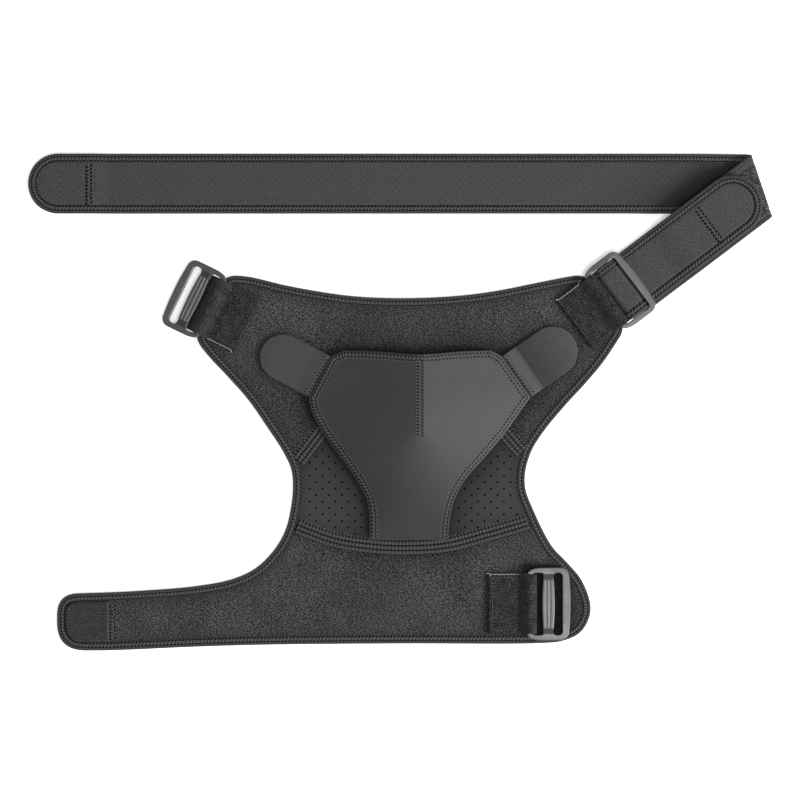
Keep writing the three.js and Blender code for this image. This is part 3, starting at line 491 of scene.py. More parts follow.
def matched(*values):
    # numbers and arrays as float arrays of one shape
    return np.broadcast_arrays(*(np.asarray(v, float) for v in values))


def twoSided(*values):
    # flat map of a closed sheet: the same numbers on its upper and lower grids
    return np.tile(np.stack([v.ravel() for v in matched(*values)], -1), (2, 1))


def standing(flat, height):
    # points of the plane with their heights
    return np.concatenate([flat, height[..., None]], -1)


def addPiece(name, solid, finish, slot, *nodes, **settings):
    # a mesh from its points and faces, on the one body, for the nodes it replaces; the slot is not used
    piece = putMesh(name, *solid, finish, **settings)
    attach(piece, "root")
    if nodes:
        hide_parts(*nodes)
    return piece


# Plane curves of the body

bodySpec = {
    "width": 484.0, "height": 320.0, "thick": 3.0, "gap": 0.3,
    "shoulderCut": 12.0, "tongueTopCut": 18.0, "tongueHemCut": 24.0,
    "tapeWidth": 7.5, "spacing": 1.2,
}
hemRows = [
    (0, 0), (0.09, 0), (0.25, 0.01), (0.37, 0.015), (0.6, 0.018), (0.847, 0.019), (0.887, 0.025),
    (0.917, 0.046), (0.933, 0.083), (0.936, 0.123), (0.92, 0.188), (0.893, 0.237), (0.868, 0.278),
    (0.833, 0.383), (0.822, 0.43), (0.822, 0.475), (0.833, 0.53), (0.854, 0.581), (0.89, 0.647),
    (0.927, 0.708), (0.958, 0.764), (1, 0.86),
]
necklineRows = [
    (0.93, 1), (0.887, 0.989), (0.837, 0.974), (0.77, 0.954), (0.702, 0.941), (0.613, 0.935),
    (0.529, 0.939), (0.474, 0.949), (0.404, 0.968), (0.335, 0.992), (0.292, 0.996),
]
leftSideRows = [
    (0.239, 0.832), (0.266, 0.781), (0.3, 0.726), (0.335, 0.666), (0.37, 0.59), (0.397, 0.527),
    (0.411, 0.48), (0.414, 0.433), (0.41, 0.375), (0.401, 0.32), (0.383, 0.271), (0.351, 0.221),
    (0.311, 0.191), (0.25, 0.172), (0.13, 0.157), (0, 0.15),
]
ventSeamRows = [
    (0.39, 0.435), (0.42, 0.494), (0.465, 0.582), (0.504, 0.656), (0.551, 0.701), (0.618, 0.717),
    (0.688, 0.701), (0.741, 0.656), (0.788, 0.571), (0.818, 0.52), (0.846, 0.473),
]
cuffSeamRows = [
    (0.372, 0.353), (0.42, 0.328), (0.486, 0.292), (0.553, 0.276), (0.619, 0.272), (0.686, 0.28),
    (0.747, 0.304), (0.828, 0.34), (0.881, 0.369),
]


def lengthsOf(line, power=1.0):
    # running length at each point of a line, every step raised to the power
    return np.concatenate([[0], np.cumsum(np.linalg.norm(np.diff(line, axis=0), axis=1) ** power)])


def readAt(table, length, at):
    return np.stack([np.interp(at, length, table[:, k]) for k in range(2)], -1)


def unit(vectors):
    return vectors / np.linalg.norm(vectors, axis=-1, keepdims=True)


def bow(start, control, end, steps=24):
    # parabola from the start to the end, its tangents meeting at the control point
    t = np.linspace(0, 1, steps)[:, None]
    start, control, end = (np.array(p, float) for p in (start, control, end))
    return (1 - t) ** 2 * start + 2 * t * (1 - t) * control + t ** 2 * end


def evenly(points, spacing, closed=False):
    # the same line with points at equal lengths along it
    line = np.vstack([points, points[:1]]) if closed else points
    length = lengthsOf(line)
    count = max(2, int(round(length[-1] / spacing)))
    even = readAt(line, length, np.linspace(0, length[-1], count + 1))
    return even[:-1] if closed else even


def smoothRun(rows, spacing=1.0):
    # centripetal Catmull-Rom curve through the rows
    p = np.array(rows, float) * [bodySpec["width"], bodySpec["height"]]
    p = np.vstack([2 * p[0] - p[1], p, 2 * p[-1] - p[-2]])
    knots = lengthsOf(p, 0.5)
    pieces = []
    for i in range(1, len(p) - 2):
        t = np.linspace(knots[i], knots[i + 1], 24)[:, None]
        t0, t1, t2, t3 = knots[i - 1:i + 3]
        a1 = (t1 - t) / (t1 - t0) * p[i - 1] + (t - t0) / (t1 - t0) * p[i]
        a2 = (t2 - t) / (t2 - t1) * p[i] + (t - t1) / (t2 - t1) * p[i + 1]
        a3 = (t3 - t) / (t3 - t2) * p[i + 1] + (t - t2) / (t3 - t2) * p[i + 2]
        b1 = (t2 - t) / (t2 - t0) * a1 + (t - t0) / (t2 - t0) * a2
        b2 = (t3 - t) / (t3 - t1) * a2 + (t - t1) / (t3 - t1) * a3
        pieces.append(((t2 - t) / (t2 - t1) * b1 + (t - t1) / (t2 - t1) * b2)[:-1])
    return evenly(np.vstack(pieces + [p[-2:-1]]), spacing)


def trimmed(run, startCut, endCut):
    length = lengthsOf(run)
    return readAt(run, length, np.linspace(startCut, length[-1] - endCut, max(3, int(length[-1]))))


def joinRuns(runs, cuts):
    # runs end to end, each corner rounded by a parabola between the cut ends
    parts = [trimmed(run, cuts[i - 1], cuts[i]) for i, run in enumerate(runs)]
    outline = []
    for i, part in enumerate(parts):
        outline += [part, bow(part[-1], runs[i][-1], parts[(i + 1) % len(parts)][0], 30)[1:-1]]
    return np.vstack(outline)


def curveOf(line, ahead):
    # a line with its directions turned left as normals, and its running length
    length = lengthsOf(line)
    normal = np.stack([-ahead[:, 1], ahead[:, 0]], -1)
    return {"line": line, "normal": normal, "length": length, "total": length[-1]}


def loopOf(points):
    # closed line; the normals point inward where it runs counter-clockwise
    ahead = unit(np.roll(points, -1, 0) - np.roll(points, 1, 0))
    return curveOf(np.vstack([points, points[:1]]), np.vstack([ahead, ahead[:1]]))


def smoothStep(t):
    t = np.clip(t, 0, 1)
    return t * t * (3 - 2 * t)


def runOf(points):
    return curveOf(points, unit(np.gradient(points, axis=0)))


def onLine(curve, s, inset):
    # point after a length s along a line, moved by the inset along its normal
    s, inset = matched(s, inset)
    normal = unit(readAt(curve["normal"], curve["length"], s))
    return readAt(curve["line"], curve["length"], s) + normal * inset[..., None]


def insideOf(outline, points):
    # even-odd rule, one crossing test for each edge against all points
    inside = np.zeros(len(points), bool)
    before = np.roll(outline, 1, 0)
    for (ax, ay), (bx, by) in zip(outline, before):
        if ay == by:
            continue
        crosses = (ay > points[:, 1]) != (by > points[:, 1])
        inside ^= crosses & (points[:, 0] < (bx - ax) * (points[:, 1] - ay) / (by - ay) + ax)
    return inside


def distanceTo(line, points):
    # least distance from each point to the points of a line
    best = np.full(len(points), 1e9)
    for start in range(0, len(line), 64):
        some = line[start:start + 64]
        best = np.minimum(best, np.linalg.norm(points[:, None] - some[None], axis=2).min(1))
    return best


def makeOutline():
    hem, neckline, leftSide = smoothRun(hemRows), smoothRun(necklineRows), smoothRun(leftSideRows)
    rightEnd = np.array([hem[-1], neckline[0]])
    leftEnd = np.array([neckline[-1], leftSide[0]])
    tongueEnd = np.array([leftSide[-1], hem[0]])
    shoulder = bodySpec["shoulderCut"]
    cuts = [shoulder] * 4 + [bodySpec["tongueTopCut"], bodySpec["tongueHemCut"]]
    outline = joinRuns([hem, rightEnd, neckline, leftEnd, leftSide, tongueEnd], cuts)
    return evenly(outline, bodySpec["spacing"], True)


rawOutline = makeOutline()
tapeBox = np.array(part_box("body_binding")) / mm
bodyShift = tapeBox.reshape(2, 3)[:, :2].mean(0) - (rawOutline.min(0) + rawOutline.max(0)) / 2
bodyEdge = loopOf(rawOutline + bodyShift)
ventSeam = runOf(smoothRun(ventSeamRows) + bodyShift)
cuffSeam = runOf(smoothRun(cuffSeamRows) + bodyShift)
touchGap = bodySpec["gap"]
onBody = bodySpec["thick"] + touchGap
print("outline laid out, moved by", bodyShift.round(2))


def bodyPlace(s, inset, height):
    flat = onLine(bodyEdge, np.mod(s, bodyEdge["total"]), inset)
    return standing(flat, np.broadcast_to(height, flat.shape[:-1]))


# Stitching: thread lines, short slanted threads and dark needle holes in rows along an edge

stitchSpec = {"pitch": 3.05, "lineRadius": 0.36, "dashRadius": 0.46, "holeDepth": 0.14}


def threadLine(place, length, inset, height, pitch):
    # one long thread that swings a little sideways and up at every stitch
    count = max(2, int(round(length / pitch)))
    phase = np.linspace(0, count, count * 4 + 1)
    path = place(phase / count * length, inset + 0.13 * np.sin(2 * np.pi * phase),
                 height + 0.15 * np.cos(2 * np.pi * phase))
    return tubes(path[None], stitchSpec["lineRadius"], 4)


def threadDashes(place, length, inset, height, pitch, size, slant):
    # short threads across the row, one to a stitch, leaning by the slant, ends sunk
    count = max(2, int(round(length / pitch)))
    k = np.arange(count)[:, None] + 0.5
    t = np.linspace(-0.5, 0.5, 5)[None]
    wander = rng.normal(0, 0.12, (count, 1))
    path = place((k + slant * t) * length / count, inset + size * t + wander,
                 height + 0.22 * np.cos(np.pi * t) - 0.12 + 0 * k)
    return tubes(path, stitchSpec["dashRadius"], 5)


def needleHoles(place, length, inset, height, pitch, phase):
    count = max(2, int(round(length / pitch)))
    k = np.arange(count) + phase
    return place(k * length / count, inset + rng.normal(0, 0.06, count), height + 0 * k)


def sewRows(name, place, length, rows, slot, pitch=stitchSpec["pitch"]):
    # a row is its kind, inset and height, then a dash's size and slant or a hole's radius and phase
    threads, holes = [], []
    for kind, inset, height, *more in rows:
        if kind == "line":
            threads.append(threadLine(place, length, inset, height, pitch))
        elif kind == "dash":
            threads.append(threadDashes(place, length, inset, height, pitch, *more))
        else:
            centres = needleHoles(place, length, inset, height, pitch, more[1])
            holes.append(buttons(centres, more[0], stitchSpec["holeDepth"]))
    if threads:
        addPiece(name + "Thread", joined(threads), threadFinish, slot)
    if holes:
        addPiece(name + "Holes", joined(holes), holeFinish, slot, smooth=False)


# Body panels

panelSpec = {
    "grid": 2.8, "puff": 0.18, "seamDip": 0.55, "seamReach": 4.0, "wave": 0.12,
    "holeRadius": 0.9, "holePitch": (11.0, 5.5), "holeMargin": 4.0, "holeSides": 10,
    "edgeInset": 1.5, "rings": (7.55, 7.75, 9.0, 11.5), "underTape": 7.65, "thinTop": 2.1,
    "thinUnder": 0.9, "darkPatch": (-115.0, 5.0),
}
clothShadeSpec = {  # how strongly painted shade darkens the cloth beside each, and how far that reaches; one entry is a plain darker patch on the yoke
    "shield": (0.8, 16.0), "darkPatch": (0.22, 42.0), "tape": (0.3, 5.0), "seam": (0.3, 5.0),
    "tab": (0.5, 6.0), "webbing": (0.45, 4.0), "buckle": (0.5, 5.0), "cuffBuckle": (0.9, 5.0),
}
ventHoles = []


def seamHeight(seam, x):
    return np.interp(x, seam["line"][:, 0], seam["line"][:, 1])


def panelMesh():
    # one flat net of triangles inside the body's edge, kept to both seams and all holes
    edge = onLine(bodyEdge, bodyEdge["length"][:-1:2], panelSpec["edgeInset"])
    rings = [onLine(bodyEdge, bodyEdge["length"][:-1:2], inset) for inset in panelSpec["rings"]]
    step = panelSpec["grid"]
    low, high = edge.min(0), edge.max(0)
    x, y = np.meshgrid(np.arange(low[0], high[0], step), np.arange(low[1], high[1], step * 0.87))
    x = x + (np.arange(x.shape[0]) % 2)[:, None] * step / 2
    loose = np.stack([x.ravel(), y.ravel()], -1)
    loose = loose[insideOf(rings[-1], loose)]
    loose = loose[distanceTo(rings[-1], loose) > step * 0.55]
    seams = [seam["line"][::2] for seam in (ventSeam, cuffSeam)]
    loose = loose[distanceTo(np.vstack(seams), loose) > step * 0.5]
    circle = np.linspace(0, 2 * np.pi, panelSpec["holeSides"], endpoint=False)
    rim = panelSpec["holeRadius"] * np.stack([np.cos(circle), np.sin(circle)], -1)
    holes = [h + rim for h in ventHoles]
    loose = loose[distanceTo(np.array(ventHoles), loose) > 1.6]
    lines = [(edge, True)] + [(ring, True) for ring in rings] + [(seam, False) for seam in seams]
    lines += [(hole, True) for hole in holes]
    points, edges, shift = [loose], [], len(loose)
    for line, closed in lines:
        k = np.arange(len(line) if closed else len(line) - 1)
        edges.append(np.stack([k, (k + 1) % len(line)], -1) + shift)
        points.append(line)
        shift += len(line)
    every = [tuple(p) for p in np.vstack(points)]
    pairs = [tuple(int(i) for i in e) for e in np.vstack(edges)]
    net = delaunay_2d_cdt(every, pairs, [], 0, 1e-4, False)
    flat = np.array([tuple(v) for v in net[0]])
    triangles = np.array(net[2])
    middle = flat[triangles].mean(1)
    keep = insideOf(edge, middle)
    for hole in ventHoles:
        keep &= np.linalg.norm(middle - hole, axis=1) > panelSpec["holeRadius"] * 0.9
    return flat, triangles[keep], middle[keep]


def findHoles():
    # staggered grid of holes on the part of the insert that shows beside the shield
    pitchX, pitchY = panelSpec["holePitch"]
    margin = panelSpec["holeMargin"]
    columns = np.arange(math.ceil(bodySpec["width"] / pitchX))
    rows = np.arange(math.ceil(bodySpec["height"] / pitchY))
    x = (columns[None] + (rows % 2)[:, None] / 2) * pitchX + bodyShift[0]
    y = np.broadcast_to(rows[:, None] * pitchY + bodyShift[1], x.shape)
    spots = np.stack([x.ravel(), y.ravel()], -1)
    body = onLine(bodyEdge, bodyEdge["length"][:-1], bodySpec["tapeWidth"] + touchGap + margin)
    spots = spots[insideOf(body, spots)]
    under = seamHeight(ventSeam, spots[:, 0]) - spots[:, 1]
    over = spots[:, 1] - seamHeight(cuffSeam, spots[:, 0])
    spots = spots[(under > 1.6 * margin) & (over > 1.6 * margin)]
    shield = onLine(shieldEdge, shieldEdge["length"][:-1], -margin)
    return spots[~insideOf(shield, spots)]


def panelHeight(flat):
    # full thickness inside the tape, thin under it, dipping to the seams, with slow waves
    edge = distanceTo(bodyEdge["line"][:-1], flat)
    seam = distanceTo(np.vstack([ventSeam["line"], cuffSeam["line"]]), flat)
    puff = panelSpec["puff"] * (1 - np.exp(-np.maximum(0, edge - 7.7) / 6.0))
    dip = panelSpec["seamDip"] * np.exp(-(seam / panelSpec["seamReach"]) ** 2)
    x, y = flat[:, 0], flat[:, 1]
    slow = np.sin(x / 23 + y / 41) * np.sin(y / 19 - x / 57 + 1.0)
    wave = panelSpec["wave"] * slow * np.clip((edge - 9) / 12, 0, 1)
    top = bodySpec["thick"] - 0.05 + puff - dip + wave
    thin = edge < panelSpec["underTape"]
    return np.where(thin, panelSpec["thinTop"], top), np.where(thin, panelSpec["thinUnder"], 0.0)


def inFrame(side, flat):
    # points seen from a webbing's bar, the first number along its heading
    place, heading = holders[side][:2]
    c, s = math.cos(heading), math.sin(heading)
    return (flat - place) @ np.array([[c, -s], [s, c]])


def boxDistance(flat, side, back, front, half):
    # distance to a rectangle at a bar, from back to front along it and half to each side
    local = inFrame(side, flat)
    out = np.stack([np.maximum(back - local[:, 0], local[:, 0] - front), np.abs(local[:, 1]) - half], -1)
    return np.linalg.norm(np.clip(out, 0, None), axis=1)


def shadeOnCloth(flat):
    # 1 where painted shade darkens the cloth beside the shield, tabs, webbing, buckles, seams and tape, and
    # over a darker patch on the yoke, to 0
    parts = []

    def addShade(name, distance):
        strength, reach = clothShadeSpec[name]
        parts.append(strength * np.exp(-(np.clip(distance, 0, None) / reach) ** 1.3))

    inside = insideOf(shieldEdge["line"][:-1], flat)
    addShade("shield", np.where(inside, 0, distanceTo(shieldEdge["line"][:-1:2], flat)))
    # a darker patch on the yoke's lower left, round the point the panel settings give
    addShade("darkPatch", np.hypot(flat[:, 0] - panelSpec["darkPatch"][0], flat[:, 1] - panelSpec["darkPatch"][1]))
    addShade("tape", distanceTo(bodyEdge["line"][:-1], flat) - bodySpec["tapeWidth"])
    addShade("seam", distanceTo(np.vstack([ventSeam["line"], cuffSeam["line"]]), flat) - 6.6)
    for side in ("left", "right"):
        middle, away, across, radius = tabFrame(side)
        past, w = (flat - middle) @ away, (flat - middle) @ across
        reach = tabSpec[side]["length"] - radius
        addShade("tab", np.hypot(past - np.clip(past, 0, reach), w) - radius)
    for side in holders:
        addShade("webbing", boxDistance(flat, side, -holders[side][4], 0, webbingSpec["width"] / 2))
        addShade("cuffBuckle" if side == "cuff" else "buckle",
              boxDistance(flat, side, -2, freeEnd, buckleHalf))
    return 1 - np.prod([1 - part for part in parts], axis=0)


def closedPanel(name, flat, triangles, finish, slot, node):
    # the net's upper and lower faces with a wall along each open edge
    used, index = np.unique(triangles, return_inverse=True)
    triangles = index.reshape(-1, 3)
    flat = flat[used]
    top, bottom = panelHeight(flat)
    count = len(flat)
    points = np.vstack([np.column_stack([flat, top]), np.column_stack([flat, bottom])])
    sides = np.concatenate([triangles[:, [0, 1]], triangles[:, [1, 2]], triangles[:, [2, 0]]])
    key = sides[:, 0].astype(np.int64) * count + sides[:, 1]
    reverse = sides[:, 1].astype(np.int64) * count + sides[:, 0]
    rim = sides[~np.isin(key, reverse)]
    wall = np.stack([rim[:, 1], rim[:, 0], rim[:, 0] + count, rim[:, 1] + count], -1)
    faces = [triangles, triangles[:, ::-1] + count, wall]
    # painted shade on the flat map, the same on both faces
    paintedShade = np.column_stack([np.tile(shadeOnCloth(flat), 2), np.zeros(2 * count)])
    piece = addPiece(name, (points, faces), finish, slot, node, flat=paintedShade)
    piece.data.set_sharp_from_angle(angle=math.radians(35))
    a, b, c = (flat[triangles[:, k]] for k in range(3))
    area = 0.5 * np.abs(np.cross(b - a, c - a)).sum() * mm * mm
    size = (flat.max(0) - flat.min(0)) * mm
    return piece, size, float(area)


def makePanels():
    flat, triangles, middle = panelMesh()
    overVent = middle[:, 1] > seamHeight(ventSeam, middle[:, 0])
    beside = (middle[:, 0] < ventSeam["line"][0, 0]) | (middle[:, 0] > ventSeam["line"][-1, 0])
    overCuff = middle[:, 1] > seamHeight(cuffSeam, middle[:, 0])
    yoke = overVent | (beside & (middle[:, 1] > ventSeam["line"][-1, 1]))
    cuff = ~overCuff & ~yoke
    plan = [("yokePanel", yoke, loopFinish, "loop_fabric", "yoke_panel"),
            ("ventPanel", ~yoke & ~cuff, ventFinish, "vent_fabric", "vent_panel"),
            ("cuffPanel", cuff, loopFinish, "loop_fabric", "cuff_panel")]
    for name, mask, finish, slot, node in plan:
        piece, size, area = closedPanel(name, flat, triangles[mask], finish, slot, node)
        area = min(area, 0.99 * size[0] * size[1])
    spots = np.column_stack([ventHoles, np.full(len(ventHoles), 1.9)])
    discs = buttons(spots, panelSpec["holeRadius"] * 1.15, 0.15, panelSpec["holeSides"])
    addPiece("ventHoleFloors", discs, holeFinish, "vent_fabric", smooth=False)


# Folded tape round the body

tapeSpec = {
    "proud": 0.12, "pinch": 0.12, "rows": (2.9, 6.3), "dashAt": 4.5, "station": 0.8,
    "bodyHole": 0.74, "strapHole": 0.9, "innerHole": 0.66,
}
tapeFinish = groovedTape("edgeTapeKnit", finishSpec["tape"], finishSpec["tapeDark"], tapeSpec["rows"], 0.7)


def tapeProfile(thick):
    # inset and height round the folded tape: rolled outer edge, a groove on each side of a
    # low ridge, the open inside, and the same below with less height
    half = thick / 2 + tapeSpec["proud"]
    roll = np.linspace(math.pi / 2, 3 * math.pi / 2, 11)
    rolled = np.stack([half * 0.95 + half * 0.95 * np.cos(roll), half * np.sin(roll)], -1)
    low = -half + 0.26
    leg = [(2.5, low), (3.3, low + 0.3), (4.9, low), (6.6, low + 0.3), (7.3, low + 0.2), (7.5, low + 0.4)]
    innerLow = [(7.5, low + 0.7), (1.3, low + 0.8), (0.9, low + 1.1)]
    innerHigh = [(0.9, half - 1.2), (1.3, half - 0.9), (7.5, half - 0.75)]
    legHigh = [(7.5, half - 0.5), (7.2, half - 0.28), (6.7, half - 0.34), (6.3, half - 0.42),
               (5.9, half - 0.3), (5.3, half - 0.06), (4.6, half), (3.9, half - 0.06),
               (3.3, half - 0.28), (2.9, half - 0.38), (2.5, half - 0.26), (2.1, half - 0.08)]
    return np.array(list(rolled) + leg + innerLow + innerHigh + legHigh)


def sweepTape(name, place, stations, thick, node):
    # the profile carried round the edge, its grooves pinched in once each stitch
    profile = tapeProfile(thick)
    s = stations[:, None]
    rows = sum(np.exp(-((profile[:, 0] - row) / 0.8) ** 2) for row in tapeSpec["rows"])
    pinch = tapeSpec["pinch"] * np.cos(2 * np.pi * s / stitchSpec["pitch"]) * rows
    height = profile[:, 1] - pinch * np.sign(profile[:, 1])
    points = place(s, profile[None, :, 0], height)
    faces = gridFaces(len(stations), len(profile), True, True)
    uv = np.stack(np.broadcast_arrays(s, np.where(profile[:, 1] > 0, profile[:, 0], -1.0)[None]), -1)
    return addPiece(name, (points.reshape(-1, 3), [faces]), tapeFinish, "edge_tape", node,
                    flat=uv.reshape(-1, 2))


def makeTape(names, place, stations, total, thick, node, outerHole):
    # the tape, then the rows on its upper side and, sunk a little, on its lower side
    sweepTape(names[0], place, stations, thick, node)
    top, below = thick / 2 + tapeSpec["proud"], -thick / 2 + 0.38
    inner, outer = tapeSpec["rows"]
    upper = [("hole", inner, top - 0.14, tapeSpec["innerHole"], 0.0),
             ("dash", tapeSpec["dashAt"], top - 0.12, 2.6, 0.42),
             ("hole", outer, top - 0.14, outerHole, 0.5)]
    sewRows(names[0], place, total, upper, "edge_tape")
    sewRows(names[1], place, total, [("line", 4.6, below), ("dash", 4.9, below, 2.4, 0.5)], "edge_tape")


def makeBodyTape():
    place = lambda s, inset, height: bodyPlace(s, inset, bodySpec["thick"] / 2 + height)
    count = int(bodyEdge["total"] / tapeSpec["station"])
    stations = np.arange(count) * bodyEdge["total"] / count
    makeTape(("bodyTape", "bodyTapeBelow"), place, stations, bodyEdge["total"], bodySpec["thick"],
             "body_binding", tapeSpec["bodyHole"])


# Seam bands between the panels

seamSpec = {
    "half": 6.8, "crown": 0.42, "under": 1.6, "grooves": (5.9, 1.95, -2.05, -5.9), "steps": 45,
    "dashes": ((4.0, 0.7), (0.0, 0.84), (-4.0, 0.7)),
}
seamFinish = groovedTape("seamKnit", finishSpec["seam"], finishSpec["seamDark"], seamSpec["grooves"], 0.8)


def seamSpan(seam):
    # the lengths along a seam between which it lies inside the tape
    inside = distanceTo(bodyEdge["line"], seam["line"]) > bodySpec["tapeWidth"] + 0.1
    inside &= insideOf(bodyEdge["line"][:-1], seam["line"])
    return seam["length"][inside][[0, -1]]


def makeSeam(name, seam, slot):
    # a flat band with three low ridges between four sunk rows of needle holes
    start, end = seamSpan(seam)
    half, crown = seamSpec["half"], bodySpec["thick"] + seamSpec["crown"]

    def place(s, inset, height):
        s, inset, height = matched(s, inset, height)
        return standing(onLine(seam, start + np.clip(s, 0, end - start), inset), height)

    across = np.linspace(-half, half, seamSpec["steps"])
    groove = sum(np.exp(-((across - row) / 0.62) ** 2) for row in seamSpec["grooves"])
    edge = 0.55 * np.clip((np.abs(across) - half + 1.0) / 1.0, 0, 1) ** 2
    high = crown - 0.5 * groove - edge
    profile = np.vstack([np.column_stack([across, high]),
                         np.column_stack([across[::-1], np.full(len(across), seamSpec["under"])])])
    s = np.linspace(0, end - start, int((end - start) / tapeSpec["station"]))[:, None]
    points = place(s, profile[None, :, 0], profile[None, :, 1])
    count, sides = len(s), len(profile)
    caps = np.stack([np.arange(sides)[::-1], np.arange(sides) + (count - 1) * sides])
    faces = [gridFaces(count, sides, closeColumns=True), caps]
    uv = np.stack(np.broadcast_arrays(s, np.where(profile[:, 1] > 2, profile[:, 0], 9.0)[None]), -1)
    addPiece(name, (points.reshape(-1, 3), faces), seamFinish, slot, flat=uv.reshape(-1, 2))
    rows = []
    for middle, hole in seamSpec["dashes"]:
        rows += [("dash", middle, crown - 0.14, 2.2, 0.42), ("hole", middle + 1.9, crown - 0.2, hole, 0.0)]
    rows += [("hole", -5.9, crown - 0.24, 0.62, 0.5), ("dash", 6.9, crown - 0.5, 1.2, 0.25)]
    sewRows(name, place, end - start, rows, slot)


# Shield

shieldSpec = {
    "halfWidth": 94.0, "height": 161.0, "thick": 2.5, "rise": 10.5, "lift": 1.2, "foot": 6.5,
    "middle": 0.636, "dartDepth": 0.9, "dartLength": 66.0, "dartX": 0.6, "dartHalf": 1.3,
    "rows": (2.1, 5.2), "topDip": 3.4, "dipReach": 30.0, "tent": 1.2, "footTent": 0.9, "rim": 1.5,
    "footRun": 9.0, "footThin": 0.3, "steps": 221, "widestRow": 7, "ladder": (2.1, 3.1),
    "ladderPitch": 2.7,
}
shieldRows = {
    "y": [0, 0.119, 0.219, 0.309, 0.443, 0.578, 0.689, 0.753, 0.86, 0.97, 1],
    "left": [0.456, 0.456, 0.485, 0.564, 0.724, 0.885, 0.981, 1, 0.902, 0.804, 0.69],
    "right": [0.258, 0.275, 0.32, 0.4, 0.597, 0.787, 0.92, 1, 0.87, 0.741, 0.64],
    "rise": [0, 0.25, 0.45, 0.64, 0.88, 1, 0.98, 0.93, 0.8, 0.6, 0.52],
    "lift": [0, 0.35, 0.6, 0.8, 1, 1, 1, 1, 1, 1, 1],
}


def shieldColumn(name, v):
    # Hermite curve through the table's rows up to the widest one, straight above it
    y, values = np.array(shieldRows["y"]), np.array(shieldRows[name], float)
    slope = np.gradient(values, y)
    widest, side = shieldSpec["widestRow"], name in ("left", "right")
    if side:
        slope[widest] = (values[widest] - values[widest - 1]) / (y[widest] - y[widest - 1])
    i = np.clip(np.searchsorted(y, v, side="right") - 1, 0, len(y) - 2)
    gap = y[i + 1] - y[i]
    t = (v - y[i]) / gap
    smooth = ((1 + 2 * t) * (1 - t) ** 2 * values[i] + t * (1 - t) ** 2 * gap * slope[i]
              + t * t * (3 - 2 * t) * values[i + 1] + t * t * (t - 1) * gap * slope[i + 1])
    return np.where((v >= y[widest]) & side, values[i] + t * (values[i + 1] - values[i]), smooth)


shieldMiddle = shieldSpec["middle"] * bodySpec["width"] + bodyShift[0]
shieldBottom = float(seamHeight(cuffSeam, shieldMiddle)) + shieldSpec["foot"]


def shieldSides(v):
    half = shieldSpec["halfWidth"]
    return shieldMiddle - half * shieldColumn("left", v), shieldMiddle + half * shieldColumn("right", v)


def shieldDip(x):
    # how far the top edge sags beside the dart
    return shieldSpec["topDip"] * np.exp(-((x - shieldMiddle) / shieldSpec["dipReach"]) ** 2)


def sagShare(v):
    # the sag grows over the upper fifth of the shield
    return smoothStep((v - 0.8) / 0.2)


def shieldShare(x, y):
    # share of the height at a point, with the sagging top edge taken out again
    v = (y - shieldBottom) / shieldSpec["height"]
    return np.clip(v + sagShare(v) * shieldDip(x) / shieldSpec["height"], 0, 1)


def shieldUnder(x, y):
    # lifted edges, a dome like a soft tent with its ridge on the dart, and the dart pressed in
    v = shieldShare(x, y)
    near = [shieldSides(np.clip(v + step, 0, 1)) for step in (-0.06, -0.03, 0, 0.03, 0.06)]
    left, right = np.mean(near, axis=0)
    u = np.clip((2 * x - left - right) / (right - left), -1, 1)
    power = shieldSpec["tent"] + shieldSpec["footTent"] * (1 - smoothStep((v - 0.36) / 0.26))
    dome = 1 - (np.sqrt(u * u + 0.004) - 0.02) ** power
    dome = shieldColumn("rise", v) * shieldSpec["rise"] * np.clip(dome, 0, 1)
    along = smoothStep((y - shieldTopY + shieldSpec["dartLength"] + 12) / 14)
    off = (x - shieldMiddle - shieldSpec["dartX"]) / shieldSpec["dartHalf"]
    dart = shieldSpec["dartDepth"] * along * np.exp(-off ** 2)
    return onBody + shieldColumn("lift", v) * shieldSpec["lift"] + dome - dart


shieldTopY = shieldBottom + shieldSpec["height"]


def makeShieldEdge():
    v = np.linspace(0, 1, 160)
    left, right = shieldSides(v)
    y = shieldBottom + v * shieldSpec["height"]
    ring = np.vstack([np.column_stack([right, y]), np.column_stack([left, y])[::-1]])
    ring = evenly(ring, 1.0, True)
    ring[:, 1] -= sagShare((ring[:, 1] - shieldBottom) / shieldSpec["height"]) * shieldDip(ring[:, 0])
    for _ in range(3):  # soften the corners a little
        ring = (np.roll(ring, 1, 0) + 2 * ring + np.roll(ring, -1, 0)) / 4
    return loopOf(evenly(ring, 1.0, True))


shieldEdge = makeShieldEdge()
footLeft, footRight = shieldSides(np.array(0.0))
shieldRimLength = shieldEdge["total"] - float(footRight - footLeft)
ventHoles = findHoles()


def shieldTop(x, y):
    # thin at the sewn foot, then rising to the whole thickness
    thin = shieldSpec["footThin"]
    share = thin + (1 - thin) * smoothStep((y - shieldBottom) / shieldSpec["footRun"])
    return shieldUnder(x, y) + shieldSpec["thick"] * share


def onShield(flat, height):
    return standing(flat, shieldTop(flat[..., 0], flat[..., 1]) + height)


def shieldPlace(s, inset, height):
    s, inset, height = matched(s, inset, height)
    return onShield(onLine(shieldEdge, np.mod(s, shieldEdge["total"]), inset), height)


